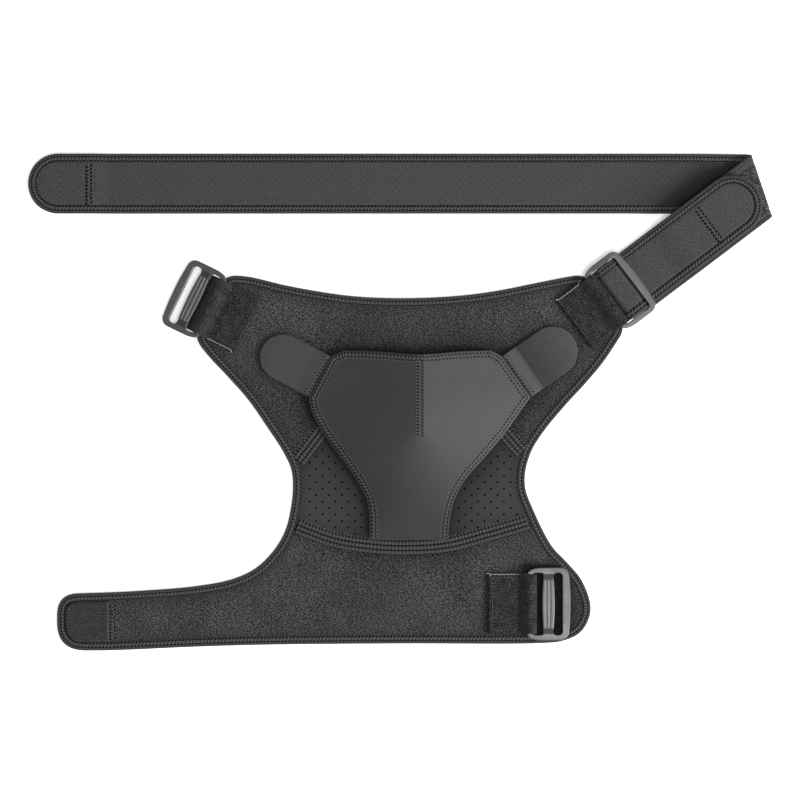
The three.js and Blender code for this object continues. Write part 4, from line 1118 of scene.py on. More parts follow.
def makeShield():
    # rows from the foot to the top edge and columns across, both closer together at the rim
    t = np.linspace(0, 1, shieldSpec["steps"])
    v = 0.5 * t + 0.5 * (0.5 - 0.5 * np.cos(np.pi * t))
    left, right = shieldSides(v)
    x = left[:, None] + (right - left)[:, None] * v[None]
    y = np.broadcast_to((shieldBottom + v * shieldSpec["height"])[:, None], x.shape)
    y = y - sagShare(v[:, None]) * shieldDip(x)
    flat = np.stack([x, y], -1)
    sewn = shieldEdge["line"][shieldEdge["length"] < shieldRimLength]
    edge = distanceTo(sewn, flat.reshape(-1, 2)).reshape(x.shape)
    rim = shieldSpec["rim"] * np.clip(1 - edge / shieldSpec["rim"], 0, 1) ** 2
    first, second = shieldSpec["rows"]
    groove = 0.45 * np.exp(-((edge - first) / 0.55) ** 2) + 0.3 * np.exp(-((edge - second) / 0.55) ** 2)
    top = standing(flat, shieldTop(x, y) - rim - groove)
    # painted light on the dome's side right of the dart, as if it faced the lamp; the step at the dart
    # softens towards the foot and fades there
    soft = 7.0 + 60.0 * (1 - smoothStep((y - shieldTopY + shieldSpec["dartLength"] + 30) / 34))
    litShare = smoothStep((x - shieldMiddle - shieldSpec["dartX"]) / soft + 0.5)
    litShare = litShare * smoothStep((shieldShare(x, y) - 0.1) / 0.55)
    cup = closedSheet(top, standing(flat, shieldUnder(x, y) + 0.4 * rim))
    piece = addPiece("shieldCup", cup, shieldFinish, "shield_fabric", "shield", flat=twoSided(litShare, edge))
    rows = [("hole", first, -0.12, 0.66, 0.0), ("dash", 3.6, -0.04, 2.4, 0.42),
            ("hole", second, -0.02, 0.74, 0.5), ("dash", 6.5, -0.14, 1.2, 0.25)]
    sewRows("shieldEdge", shieldPlace, shieldRimLength, rows, "shield_fabric")


def makeDart():
    # a ladder of threads down the dart from the top edge
    x, top = shieldMiddle + shieldSpec["dartX"], shieldTopY - shieldSpec["topDip"] - 4.4

    def place(s, inset, height):
        s, inset, height = matched(s, inset, height)
        return onShield(np.stack([x + inset, top - s], -1), height)

    hole, dash = shieldSpec["ladder"]
    rows = [("dash", -dash, 0.1, 1.4, 0.3), ("hole", -hole, 0.12, 0.8, 0.0), ("dash", 0.0, 0.55, 2.8, 0.45),
            ("hole", hole, 0.12, 0.8, 0.5), ("dash", dash, 0.1, 1.4, 0.3)]
    sewRows("shieldDart", place, shieldSpec["dartLength"], rows, "shield_fabric", shieldSpec["ladderPitch"])


# Tabs of the shield

tabSpec = {
    "left": {"length": 55.0, "node": "shield_tab_left"},
    "right": {"length": 59.0, "node": "shield_tab_right"},
    "thick": 2.0, "drop": 14.0, "seam": (0.753, 0.97), "ribStart": 13.5, "rim": (0.9, 1.1), "crown": 0.35,
}


def tabFrame(side):
    # middle of the tab's seam, its outward and cross directions, and its half width
    v = np.array(tabSpec["seam"])
    x = shieldSides(v)[0 if side == "left" else 1]
    a, b = np.column_stack([x, shieldBottom + v * shieldSpec["height"]])
    across = (b - a) / np.linalg.norm(b - a)
    away = np.array([-across[1], across[0]]) * (1 if side == "left" else -1)
    return (a + b) / 2, away, across, np.linalg.norm(b - a) / 2


def tabBase(at):
    return onBody + shieldSpec["lift"] * (1 - smoothStep((at - touchGap) / tabSpec["drop"]))


def makeTab(side):
    # a strip with a half-round end; each section's width follows the end's circle
    middle, away, across, radius = tabFrame(side)
    length = tabSpec[side]["length"]
    straight = np.linspace(touchGap, length - radius, 60)
    turn = np.linspace(0, math.pi / 2, 50)[1:-1]
    at = np.concatenate([straight, length - radius + radius * np.sin(turn), [length - 0.01]])
    half = np.where(at < length - radius, radius,
                    np.sqrt(np.maximum(radius ** 2 - (at - length + radius) ** 2, 0.3)))
    t = np.linspace(-1, 1, 81)
    w = half[:, None] * (np.sin(t * np.pi / 2) * 0.6 + t * 0.4)[None]
    along = np.broadcast_to(at[:, None], w.shape)
    past = np.maximum(0, along - (length - radius))
    edge = radius - np.hypot(past, w)
    rim = tabSpec["rim"][0] * np.clip(1 - edge / tabSpec["rim"][1], 0, 1) ** 2
    base = tabBase(along)
    crown = tabSpec["crown"] * smoothStep(edge / 8) * smoothStep(along / 10)
    flat = middle + away * along[..., None] + across * w[..., None]
    top = base + tabSpec["thick"] - rim + crown
    strip = closedSheet(standing(flat, top), standing(flat, base + rim * 0.5))
    # the right tab is ribbed past its sewn end; its smooth sloping part gets a band of painted light
    ridged = (along > tabSpec["ribStart"]) & (side == "right")
    litShare = np.exp(-(np.abs(along - 7.5) / 6.0) ** 4) if side == "right" else 0.25 + 0 * along
    ribbed = ridged[:-1, :-1].ravel().astype(int)
    piece = addPiece(side + "Tab", strip, [tabFinish, ribFinish], "tab_fabric", tabSpec[side]["node"],
                     faceFinish=[ribbed, ribbed, np.zeros(len(strip[1][2]), int)],
                     flat=twoSided(np.where(ridged, along, litShare), w))

    def place(s, inset, height):
        s, inset, height = matched(s, inset, height)
        flat = middle + away * inset[..., None] + across * (s + 1.5 - radius)[..., None]
        return standing(flat, tabBase(inset) + tabSpec["thick"] + height)

    rows = [("hole", 1.4, 0.02, 0.8, 0.0), ("dash", 2.8, 0.06, 1.8, 0.3), ("hole", 4.3, 0.05, 0.76, 0.5)]
    sewRows(side + "Tab", place, 2 * radius - 3.0, rows, "tab_fabric")


makeBodyTape()
makeSeam("ventSeam", ventSeam, "vent_fabric")
makeSeam("cuffSeam", cuffSeam, "loop_fabric")
print("body made")
makeShield()
makeDart()
makeTab("left")
makeTab("right")
print("shield made")


# Webbing sewn to the shoulders and the cuff, each with a loop round its buckle's bar

webbingSpec = {
    "width": 50.5, "thick": 1.2, "step": 0.7, "shoulder": 32.0, "cuff": 34.4, "slope": 8.0, "barInset": 2.2,
    "loops": {"left": (2.3, 7.6), "right": (2.5, 3.4), "cuff": (1.9, 0.0)},
    "cuffPlace": (0.829, 0.125),
}
buckleSpec = {
    "thick": 4.0, "tapeBar": 5.0, "centreBar": 10.3, "freeBar": 5.8, "tapeSlotPlay": 2.8,
    "freeSlotPlay": 3.9, "slotEndPlay": 0.7, "sideFrame": 4.55, "waist": 0.9, "corner": 7.5,
    "tapeCorner": 5.0, "bevel": 0.75, "ridgeHalf": 20.5, "ridgeHeight": 0.75, "freeBow": 2.4,
}
strapSpec = {
    "width": 51.0, "thick": 3.0, "longLeg": 618.0, "foldReach": 149.5, "foldRadius": 2.4,
    "returnLength": 144.0, "stackGap": 0.5, "slotTurn": 70.0, "dropStart": 86.0, "dropLength": 26.0,
    "bendSteps": 14, "patchThick": 1.2, "patchLength": 50.0, "cuffPatch": 44.0,
    "hookPitch": 1.25, "spread": 0.045, "drift": 1.7, "rim": 0.8,
}
loopInner = math.hypot(buckleSpec["tapeBar"] / 2, buckleSpec["thick"] / 2 - 0.8) + touchGap
loopOuter = loopInner + webbingSpec["thick"]
centreStart = loopOuter + buckleSpec["tapeSlotPlay"] + strapSpec["thick"] + touchGap
centreEnd = centreStart + buckleSpec["centreBar"]
freeStart = centreEnd + strapSpec["thick"] + buckleSpec["freeSlotPlay"]
freeEnd = freeStart + buckleSpec["freeBar"]
slotHalf = strapSpec["width"] / 2 + buckleSpec["slotEndPlay"]
buckleHalf = slotHalf + buckleSpec["sideFrame"]
lowBar = onBody + loopOuter
highBar = 2 * strapSpec["thick"] + strapSpec["stackGap"] + touchGap + buckleSpec["thick"] / 2


def shoulderEnd(firstRow, lastRow):
    size = np.array([bodySpec["width"], bodySpec["height"]])
    first, last = np.array(firstRow) * size, np.array(lastRow) * size
    along = (last - first) / np.linalg.norm(last - first)
    outward = np.array([along[1], -along[0]])
    middle = (first + last) / 2 - outward * webbingSpec["barInset"] + bodyShift
    return middle, math.atan2(outward[1], outward[0])


def restTilt(barHeight, restHeight):
    arm = math.hypot(freeEnd, buckleSpec["thick"] / 2)
    return math.asin((barHeight - restHeight) / arm) - math.atan2(buckleSpec["thick"] / 2, freeEnd)


cuffMiddle = np.array(webbingSpec["cuffPlace"]) * [bodySpec["width"], bodySpec["height"]] + bodyShift
holders = {
    "left": (*shoulderEnd(necklineRows[-1], leftSideRows[0]), lowBar, restTilt(lowBar, touchGap),
             webbingSpec["shoulder"]),
    "right": (*shoulderEnd(hemRows[-1], necklineRows[0]), highBar, 0.0, webbingSpec["shoulder"]),
    "cuff": (cuffMiddle, 0.0, lowBar, restTilt(lowBar, onBody), webbingSpec["cuff"]),
}


def turned(points, place, heading):
    # points of a piece's own frame turned about z by the heading and moved to the place
    c, s = math.cos(heading), math.sin(heading)
    x = points[..., 0] * c - points[..., 1] * s + place[0]
    y = points[..., 0] * s + points[..., 1] * c + place[1]
    return np.stack([x, y, points[..., 2]], -1)


def webbingPath(length, barHeight, bulge, lip):
    # middle line seen from the side: sewn under layer, round the bar, back over it
    radius, thick, slope = (loopInner + loopOuter) / 2, webbingSpec["thick"], webbingSpec["slope"]
    low, high = onBody + thick / 2, onBody + 1.5 * thick + 0.02

    def tangent(x, z, side):
        reach = math.hypot(x, barHeight - z)
        return math.atan2(z - barHeight, x) + side * math.acos(radius / reach)

    first = tangent(-slope, low, 1)
    last = tangent(-slope - radius * 0.3, high, -1)
    sweep = (last - first) % (2 * math.pi)
    angle = first + sweep * np.linspace(0, 1, 48)
    loop = np.column_stack([radius * np.cos(angle), barHeight + radius * np.sin(angle)])
    loop[:, 0] += np.clip(np.cos(angle), 0, 1) * bulge
    loop[:, 0] += np.clip(np.cos(angle), 0, 1) ** 0.5 * smoothStep(-1.3 * np.sin(angle)) * lip
    loop[:, 1] -= 0.36 * lip * smoothStep((loop[:, 0] - 2.5) / 4) * smoothStep(-1.5 * np.sin(angle))
    under = np.column_stack([np.linspace(-length, -slope, 30), np.full(30, low)])
    over = np.column_stack([np.linspace(-slope - radius * 0.3, -length, 30), np.full(30, high)])
    line = evenly(np.vstack([under, loop, over]), webbingSpec["step"])
    for _ in range(4):
        line[1:-1] = (line[:-2] + 2 * line[1:-1] + line[2:]) / 4
    return line


def sheetGrid(middle, normal, half, place, heading):
    # a grid moved out and in along its normals, then laid at its place
    shift = normal * half[..., None]
    points, faces = closedSheet(middle + shift, middle - shift)
    return turned(points, place, heading), faces


def boxStitchLines(length):
    # a box and its diagonals on the sewn part, as (start, end) pairs in the piece's own frame
    x0, x1, y = -length + 2.6, -webbingSpec["slope"] - 3.2, webbingSpec["width"] / 2 - 3.0
    corners = [(x0, -y), (x1, -y), (x1, y), (x0, y)]
    sides = [(corners[k], corners[(k + 1) % 4]) for k in range(4)]
    return sides + [(corners[0], corners[2]), (corners[1], corners[3])]


def lineDistance(points, start, end):
    # distance in the plane from points to a straight piece of line
    start, end = np.array(start), np.array(end)
    along = end - start
    t = np.clip(((points - start) @ along) / (along @ along), 0, 1)
    return np.linalg.norm(points - start - t[..., None] * along, axis=-1)


def makeWebbing(side, node):
    place, heading, barHeight, _, length = holders[side]
    line = webbingPath(length, barHeight, *webbingSpec["loops"][side])
    ahead = unit(np.gradient(line, axis=0))
    share = np.linspace(-1, 1, 73)
    across = webbingSpec["width"] / 2 * (0.8 * share + 0.2 * np.sin(share * np.pi / 2))
    s = np.arange(len(line)) * webbingSpec["step"]
    grid = np.zeros((len(line), len(across), 3))
    # selvedges and the cut ends wander by a fraction of a yarn
    wander = 0.25 * np.sin(s / 2.1) * np.sin(s / 5.3 + 1.0)
    grid[..., 0] = line[:, :1]
    grid[..., 1] = across[None] * (1 + wander[:, None] * 0.01)
    grid[..., 2] = line[:, 1:]
    normal = np.zeros_like(grid)
    normal[..., 0], normal[..., 2] = ahead[:, 1:], -ahead[:, :1]
    edge = webbingSpec["width"] / 2 - np.abs(across)
    half = 0.58 * np.sqrt(np.clip(edge / 0.9, 0.12, 1))[None] * np.ones((len(line), 1))
    yarn = 0.05 * np.sin(grid[..., 1] * 2 * np.pi / 1.5) * np.cos(s * 2 * np.pi / 2.1)[:, None]
    over = line[:, 1] > onBody + webbingSpec["thick"] * 1.2
    sewn = (line[:, 0] < -webbingSpec["slope"]) & over
    away = [lineDistance(grid[..., :2], start, end) for start, end in boxStitchLines(length)]
    grid[..., 2] -= 0.3 * np.exp(-(np.min(away, axis=0) / 1.1) ** 2) * sewn[:, None]
    piece = addPiece(side + "Webbing", sheetGrid(grid, normal, half + yarn, place, heading), webFinish,
                     "webbing", node, flat=twoSided(s[:, None], across[None]))
    makeBoxStitch(side, length, place, heading)


def makeBoxStitch(side, length, place, heading):
    top = onBody + 2 * webbingSpec["thick"] - 0.12
    parts, holes = [], []
    for start, end in boxStitchLines(length):
        start, end = np.array(start), np.array(end)
        reach = np.linalg.norm(end - start)
        count = int(round(reach / 3.0))
        k = np.arange(count)[:, None]
        t = (k + np.linspace(0.12, 0.88, 4)[None]) / count
        lift = 0.14 * np.sin(np.pi * np.linspace(0, 1, 4))[None] + 0 * k
        dash = standing(start + (end - start) * t[..., None], top + lift)
        parts.append(tubes(turned(dash, place, heading), 0.34, 5))
        at = start + (end - start) * (np.arange(count + 1) / count)[:, None]
        holes.append(turned(np.column_stack([at, np.full(count + 1, top)]), place, heading))
    # the cuff's box is sewn with the paler thread, its diagonals and the others with the dark one
    pale = [np.full(len(group), side == "cuff" and k < 4)
            for k, part in enumerate(parts) for group in part[1]]
    addPiece(side + "BoxStitch", joined(parts), [darkThreadFinish, threadFinish], "webbing",
             faceFinish=pale)
    spots = buttons(np.concatenate(holes), 0.6, 0.12)
    addPiece(side + "BoxHoles", spots, holeFinish, "webbing", smooth=False)


# Buckles: flat moulded frames with three bars

def arcPoints(cx, cy, radius, start, end, steps=14):
    angle = np.radians(np.linspace(start, end, steps))
    return np.column_stack([cx + radius * np.cos(angle), cy + radius * np.sin(angle)])


def buckleOutline():
    back, corner = -buckleSpec["tapeBar"] / 2, buckleSpec["corner"]
    waist, shift = buckleHalf - buckleSpec["tapeCorner"], buckleSpec["tapeCorner"] * 0.4
    return np.vstack([
        bow((back, -waist), (back + shift, -buckleHalf), (centreStart, -buckleHalf)),
        arcPoints(freeEnd - corner, -buckleHalf + corner, corner, -90, -4),
        bow((freeEnd, -buckleHalf + corner), (freeEnd + buckleSpec["freeBow"], 0),
            (freeEnd, buckleHalf - corner), 30),
        arcPoints(freeEnd - corner, buckleHalf - corner, corner, 4, 90),
        bow((centreStart, buckleHalf), (back + shift, buckleHalf), (back, waist)),
    ])


def slotOutline(start, end, bowAtStart):
    # a slot whose side towards the centre bar bows by the waist, its corners rounded
    corner, waist = (end - start) * (0.48 if bowAtStart else 0.3), buckleSpec["waist"]
    low = start - waist if bowAtStart else start
    high = end if bowAtStart else end + waist
    lowMiddle = start + waist if bowAtStart else low
    highMiddle = high if bowAtStart else end - waist
    h = slotHalf
    return np.vstack([
        bow((low, -h + corner), (lowMiddle, 0), (low, h - corner)),
        bow((low, h - corner), (low, h), (low + corner, h), 9),
        bow((high - corner, h), (high, h), (high, h - corner), 9),
        bow((high, h - corner), (highMiddle, 0), (high, -h + corner)),
        bow((high, -h + corner), (high, -h), (high - corner, -h), 9),
        bow((low + corner, -h), (low, -h), (low, -h + corner), 9),
    ])


def ridges():
    # a raised plate on the centre bar: three facets with grooves between, square ends
    v = np.concatenate([[-1.0], np.linspace(-0.985, 0.985, 45), [1.0]])[:, None]
    u = np.concatenate([[-1.0], np.linspace(-0.97, 0.97, 43), [1.0]])[None]
    low = centreStart - buckleSpec["waist"] * (2 * v ** 2 - 1) * -0.5 + 0.2
    high = centreEnd + buckleSpec["waist"] * (2 * v ** 2 - 1) * -0.5 - 0.2
    x = (low + high) / 2 + (high - low) / 2 * u
    saw = np.abs(np.mod((u + 1) * 1.5, 1) - 0.5) * 2
    facets = buckleSpec["ridgeHeight"] * (1 - saw ** 4 * 0.8) * (1 - 0.35 * u ** 2)
    rim = (np.abs(u) > 0.98) | (np.abs(v) > 0.99)
    z = buckleSpec["thick"] / 2 + np.where(rim, -0.3, facets)
    points = np.stack(np.broadcast_arrays(x, v * buckleSpec["ridgeHalf"], z), -1)
    under = points.copy()
    under[..., 2] = buckleSpec["thick"] / 2 - 0.5
    return closedSheet(points, under)


def shadePanels():
    # thin dark sheets of painted shade where the centre bar widens into the side frames, past the raised
    # plate
    half, end = buckleSpec["ridgeHalf"], slotHalf - buckleSpec["slotEndPlay"]
    corners = np.array([[[centreStart + 1.4, half + 0.15], [centreEnd - 1.4, half + 0.15]],
                        [[centreStart + 1.0, end], [centreEnd - 0.45, end]]])
    parts = []
    for side in (1, -1):
        flat = corners[::side] * [1, side]
        top = standing(flat, np.full((2, 2), buckleSpec["thick"] / 2 + 0.06))
        parts.append(closedSheet(top, top - [0, 0, 0.3]))
    return joined(parts)


def frameMesh(name):
    # the flat outline and its slots as a filled curve with rounded edges, made a mesh
    curve = bpy.data.curves.new(name + "Curve", "CURVE")
    curve.dimensions = "2D"
    curve.fill_mode = "BOTH"
    bevel = buckleSpec["bevel"]
    curve.extrude = (buckleSpec["thick"] / 2 - bevel) * mm
    curve.bevel_depth = bevel * mm
    curve.bevel_resolution = 5
    curve.offset = -bevel * mm
    for line in (buckleOutline(), slotOutline(buckleSpec["tapeBar"] / 2, centreStart, False),
                 slotOutline(centreEnd, freeStart, True)):
        line = evenly(line, 1.0, True)
        spline = curve.splines.new("POLY")
        spline.points.add(len(line) - 1)
        co = np.column_stack([line * mm, np.zeros(len(line)), np.ones(len(line))])
        spline.points.foreach_set("co", co.astype(np.float32).ravel())
        spline.use_cyclic_u = True
    holder = bpy.data.objects.new(name + "Holder", curve)
    scene.collection.objects.link(holder)
    graph = bpy.context.evaluated_depsgraph_get()
    mesh = bpy.data.meshes.new_from_object(holder.evaluated_get(graph))
    points = np.zeros(len(mesh.vertices) * 3)
    mesh.vertices.foreach_get("co", points)
    corners = np.zeros(len(mesh.loops), int)
    mesh.loops.foreach_get("vertex_index", corners)
    sizes = np.zeros(len(mesh.polygons), int)
    mesh.polygons.foreach_get("loop_total", sizes)
    starts = np.concatenate([[0], np.cumsum(sizes)[:-1]])
    points = points.reshape(-1, 3) / mm
    unique, index = np.unique(points.round(4), axis=0, return_inverse=True)
    index = index.ravel()
    faces = []
    for size in np.unique(sizes):
        these = starts[sizes == size][:, None] + np.arange(size)
        faces.append(index[corners[these]])
    bpy.data.objects.remove(holder)
    bpy.data.curves.remove(curve)
    bpy.data.meshes.remove(mesh)
    return unique, faces


def makeBuckle(side, node):
    place, heading, barHeight, tilt, _ = holders[side]
    frame, plate = frameMesh(side), ridges()
    both, faces = joined([frame, plate, shadePanels()])
    plain = len(frame[0]) + len(plate[0])
    # faces of the sheets of painted shade take the dark finish
    finishOf = [np.full(len(group), group.min() >= plain) for group in faces]
    # tilt about the webbing's bar, then turn and lift
    c, s = math.cos(tilt), math.sin(tilt)
    x = both[:, 0] * c + both[:, 2] * s
    z = -both[:, 0] * s + both[:, 2] * c + barHeight
    both = turned(np.column_stack([x, both[:, 1], z]), place, heading)
    piece = addPiece(side + "Buckle", (both, faces), [plasticFinish, plasticShadeFinish], "buckle_plastic", node,
                     faceFinish=finishOf)
    piece.data.set_sharp_from_angle(angle=math.radians(24))


# Chest strap: s runs along it, w across it and h out of its smooth face

legHeading = holders["right"][1] + math.pi
foldAngle = legHeading / 2
foldAlong = np.array([math.cos(foldAngle), math.sin(foldAngle)])
foldAway = np.array([math.sin(foldAngle), -math.cos(foldAngle)])
legAlong = np.array([math.cos(legHeading), math.sin(legHeading)])
legAcross = np.array([legAlong[1], -legAlong[0]])
foldRadius = strapSpec["foldRadius"]
foldBack = (math.pi - 1) * foldRadius * abs(foldAway @ legAlong)
barFromStart = (centreStart + centreEnd) / 2 + strapSpec["foldReach"] + foldBack
legStart = holders["right"][0] - legAlong * barFromStart
foldMiddle = legStart - foldAway * math.pi * foldRadius
longLegZ = strapSpec["thick"] / 2
upperLegZ = longLegZ + 2 * foldRadius
strapHalf = strapSpec["width"] / 2


def legProfile():
    # side view from the fold: under the buckle, round its centre bar, down the free slot, back
    thick, gap, start = strapSpec["thick"], strapSpec["stackGap"], strapSpec["dropStart"]
    steps, half = strapSpec["bendSteps"], strapSpec["thick"] / 2

    def underZ(a):
        share = smoothStep((a - start) / strapSpec["dropLength"])
        return upperLegZ + share * (longLegZ - upperLegZ)

    def backZ(a):
        share = smoothStep((start - 4 - a) / 20)
        return underZ(a) + thick + gap + share * (strapSpec["patchThick"] + 2 * touchGap - gap)

    def at(x):
        return barFromStart - x

    under = highBar - buckleSpec["thick"] / 2 - touchGap - half
    over = highBar + buckleSpec["thick"] / 2 + touchGap + half
    wide, tight = half + 1, half + 0.7
    upright = at(centreStart) + touchGap + half
    turn = math.radians(strapSpec["slotTurn"])
    dive = over - under - 2 * tight * (1 - math.cos(turn))
    diveRun = 2 * tight * math.sin(turn) + dive / math.tan(turn)
    diveStart = at((centreEnd + freeStart) / 2) + diveRun / 2
    drop = start + strapSpec["dropLength"] * np.linspace(0, 1, steps)
    back = start - np.linspace(4, 24, steps)
    end = barFromStart - (centreStart + centreEnd) / 2 - strapSpec["returnLength"]
    knees = np.array([
        (at(freeStart) + buckleSpec["freeBar"] * 0.2, longLegZ),
        (at(centreStart + buckleSpec["centreBar"] * 0.4), under - thick * 0.2)])
    slotDegrees = strapSpec["slotTurn"]
    return np.vstack([
        [(30, upperLegZ), (60, upperLegZ)], np.column_stack([drop, underZ(drop)]), knees,
        arcPoints(upright - wide, under + wide, wide, -90, 0, steps),
        arcPoints(upright - wide, over - wide, wide, 0, 90, steps),
        arcPoints(diveStart, over - tight, tight, 90, 90 + slotDegrees, steps),
        arcPoints(diveStart - diveRun, under + tight, tight, slotDegrees - 90, -90, steps),
        [(at(freeEnd + 4), backZ(at(freeEnd + 4)))],
        np.column_stack([drop, backZ(drop)])[::-1], np.column_stack([back, backZ(back)]),
        [(end, backZ(end))]])


def makeLeg():
    points = legProfile()
    keep = np.concatenate([[True], np.linalg.norm(np.diff(points, axis=0), axis=1) > 0.02])
    points = points[keep]
    step = np.diff(points, axis=0)
    size = np.linalg.norm(step, axis=1)
    ahead = step / size[:, None]
    ahead = np.vstack([ahead[:1], ahead, ahead[-1:]])
    mean = ahead[:-1] + ahead[1:]
    return {"points": points, "length": points[0, 0] + np.concatenate([[0], np.cumsum(size)]),
            "turn": np.unwrap(np.arctan2(mean[:, 1], mean[:, 0]))}


leg = makeLeg()
strapTotal = strapSpec["longLeg"] + leg["length"][-1]


def strapPoint(s, w, h):
    # flat up to the fold line, round the fold on a cylinder, then along the leg's side view;
    # the leg under the buckle spreads a little and drifts to one side
    s, w, h = matched(s, w, h)
    past = s - strapSpec["longLeg"]
    spread = smoothStep((past + 60) / 60) * (1 - smoothStep((past - 136) / 20))
    w = w * (1 + strapSpec["spread"] * spread) - strapSpec["drift"] * spread
    t = past * foldAlong[0] + w * foldAlong[1]
    d = past * foldAway[0] + w * foldAway[1]
    bend = np.clip(d, 0, None) / foldRadius
    away = np.where(d < 0, d, foldRadius * np.sin(bend)) - h * np.sin(bend)
    lift = 1 - smoothStep((s - strapSpec["patchLength"] - 4) / 16)
    z = longLegZ + lift * (strapSpec["patchThick"] + touchGap)
    z = z + foldRadius * (1 - np.cos(bend)) + h * np.cos(bend)
    curved = foldMiddle + foldAlong * t[..., None] + foldAway * away[..., None]
    a = np.where(past < leg["length"][0], past, np.interp(past, leg["length"], leg["points"][:, 0]))
    legZ = np.interp(past, leg["length"], leg["points"][:, 1])
    turn = np.interp(past, leg["length"], leg["turn"])
    straight = legStart + legAlong * (a + h * np.sin(turn))[..., None] + legAcross * w[..., None]
    onLeg = d >= math.pi * foldRadius
    flat = np.where(onLeg[..., None], straight, curved)
    return standing(flat, np.where(onLeg, legZ - h * np.cos(turn), z))


def strapStations(start, end):
    # close together round the fold and the buckle's bars, wider apart elsewhere
    bar = strapSpec["longLeg"] + barFromStart
    fold = strapSpec["longLeg"]
    breaks = [(start, fold - 14, 2.2), (fold - 14, fold + 26, 0.45), (fold + 26, bar - 42, 1.8),
              (bar - 42, bar + 28, 0.5), (bar + 28, end, 2.0)]
    runs = [np.arange(max(a, start), min(b, end), step) for a, b, step in breaks if b > start]
    return np.concatenate(runs + [[end]])


def makeStrap():
    half = strapHalf - strapSpec["rim"]
    turn = np.linspace(0.03, 0.5, 18) * math.pi
    startEnd = strapHalf - half * np.cos(turn)
    s = np.concatenate([startEnd, strapStations(strapHalf, strapTotal - strapHalf)[1:-1],
                        (strapTotal - startEnd)[::-1]])
    capped = np.minimum(np.minimum(s - strapHalf, strapTotal - strapHalf - s), 0)
    reach = np.sqrt(np.maximum(half ** 2 - capped ** 2, 0.5))
    t = np.linspace(-1, 1, 41)
    w = reach[:, None] * t[None]
    along = np.broadcast_to(s[:, None], w.shape)
    past = np.hypot(capped[:, None], w)
    edge = strapHalf - np.where(capped[:, None] < 0, past, np.abs(w))
    thin = np.clip((edge - 7.0) / 0.8, 0, 1)
    ripple = 0.06 * np.sin(along / 13 + w / 9) * np.sin(along / 29 - w / 5)
    h = 0.9 + (strapSpec["thick"] / 2 - 0.06 + ripple - 0.9) * thin
    points, faces = closedSheet(strapPoint(along, w, h), strapPoint(along, w, -h))
    upper, under, wall = (len(group) for group in faces)
    piece = addPiece("chestStrap", (points, faces), [strapFinish, strapBackFinish], "strap_fabric",
                     "chest_strap", flat=twoSided(along, w),
                     faceFinish=[np.zeros(upper, int), np.ones(under, int), np.zeros(wall, int)])


# distance from the folded leg's edge to a point (s, w) of the long leg, as a, b, c in a s + b w + c, for
# the painted shadow
corner = [strapPoint(s, w, 0)[:2] for s, w in ((100, 0), (101, 0), (100, 1))]
beside = [float(legAcross @ (corner[k] - corner[0])) for k in (1, 2)]
beside.append(float(legAcross @ (corner[0] - legStart)) - 100 * beside[0] - strapHalf)
strapFinish = perforatedKnit("strapKnit", finishSpec["strap"], finishSpec["strapDark"], 6.0, beside)
straightLength = strapTotal - 2 * strapHalf
endLength = math.pi * strapHalf
strapEdgeTotal = 2 * (straightLength + endLength)


def strapPlace(q, inset, height):
    # round the strap's edge: one side, round end, the other side, the other round end
    q, inset, height = matched(q, inset, height)
    q, half = np.mod(q, strapEdgeTotal), strapHalf - inset
    firstEnd, secondSide = straightLength, straightLength + endLength
    secondEnd = secondSide + straightLength
    angle = np.where(q < secondSide, (q - firstEnd) / strapHalf - math.pi / 2,
                     (q - secondEnd) / strapHalf + math.pi / 2)
    runs = [q < firstEnd, q < secondSide, q < secondEnd]
    s = np.select(runs, [strapHalf + q, strapTotal - strapHalf + half * np.cos(angle),
                         strapTotal - strapHalf - (q - secondSide)], strapHalf + half * np.cos(angle))
    w = np.select(runs, [-half, half * np.sin(angle), half], half * np.sin(angle))
    return strapPoint(s, w, height)


def makeStrapTape():
    s = strapStations(strapHalf, strapTotal - strapHalf)[:-1] - strapHalf
    ends = np.linspace(0, endLength, 90, endpoint=False)
    back = (straightLength - s)[::-1]
    stations = np.concatenate([s, straightLength + ends, straightLength + endLength + back[:-1],
                               2 * straightLength + endLength + ends])
    makeTape(("strapTape", "strapTapeBack"), strapPlace, stations, strapEdgeTotal, strapSpec["thick"],
             "strap_binding", tapeSpec["strapHole"])


def makeCrossStitch(name, s):
    # double row across the strap that holds the hook patch beneath it
    half = strapHalf - 8.4

    def place(q, inset, height):
        q, inset, height = matched(q, inset, height)
        return strapPoint(s + inset, q - half, height)

    top = strapSpec["thick"] / 2
    rows = [("hole", -1.8, top - 0.02, 1.15, 0.0), ("dash", 0.0, top - 0.02, 2.4, 0.5),
            ("hole", 1.8, top - 0.02, 1.15, 0.5)]
    sewRows(name, place, 2 * half, rows, "strap_fabric")


# Hook patches

def hookPlate(name, x, low, high, bottom, node, place=(0, 0), heading=0.0):
    # plate between two edges given per column, its rim rounded
    thick = strapSpec["patchThick"]
    t = np.linspace(-1, 1, 25)
    y = (low + high)[:, None] / 2 + (high - low)[:, None] / 2 * (0.6 * t + 0.4 * np.sin(t * np.pi / 2))
    middle = np.stack([np.broadcast_to(x[:, None], y.shape), y, np.full(y.shape, bottom + thick / 2)], -1)
    edge = np.minimum(np.minimum(y - low[:, None], high[:, None] - y), (x - x[0])[:, None])
    half = thick / 2 * np.sqrt(np.clip(edge / 0.8, 0.15, 1))
    normal = np.zeros_like(middle)
    normal[..., 2] = 1
    piece = addPiece(name, sheetGrid(middle, normal, half, place, heading), hookFinish, "hook_tape", node,
                     flat=twoSided(middle[..., 0], y))
    size = [float(x[-1] - x[0]) * mm, float(high.max() - low.min()) * mm]
    area = 0.5 * float(((high - low)[1:] + (high - low)[:-1]) @ np.diff(x)) * mm * mm


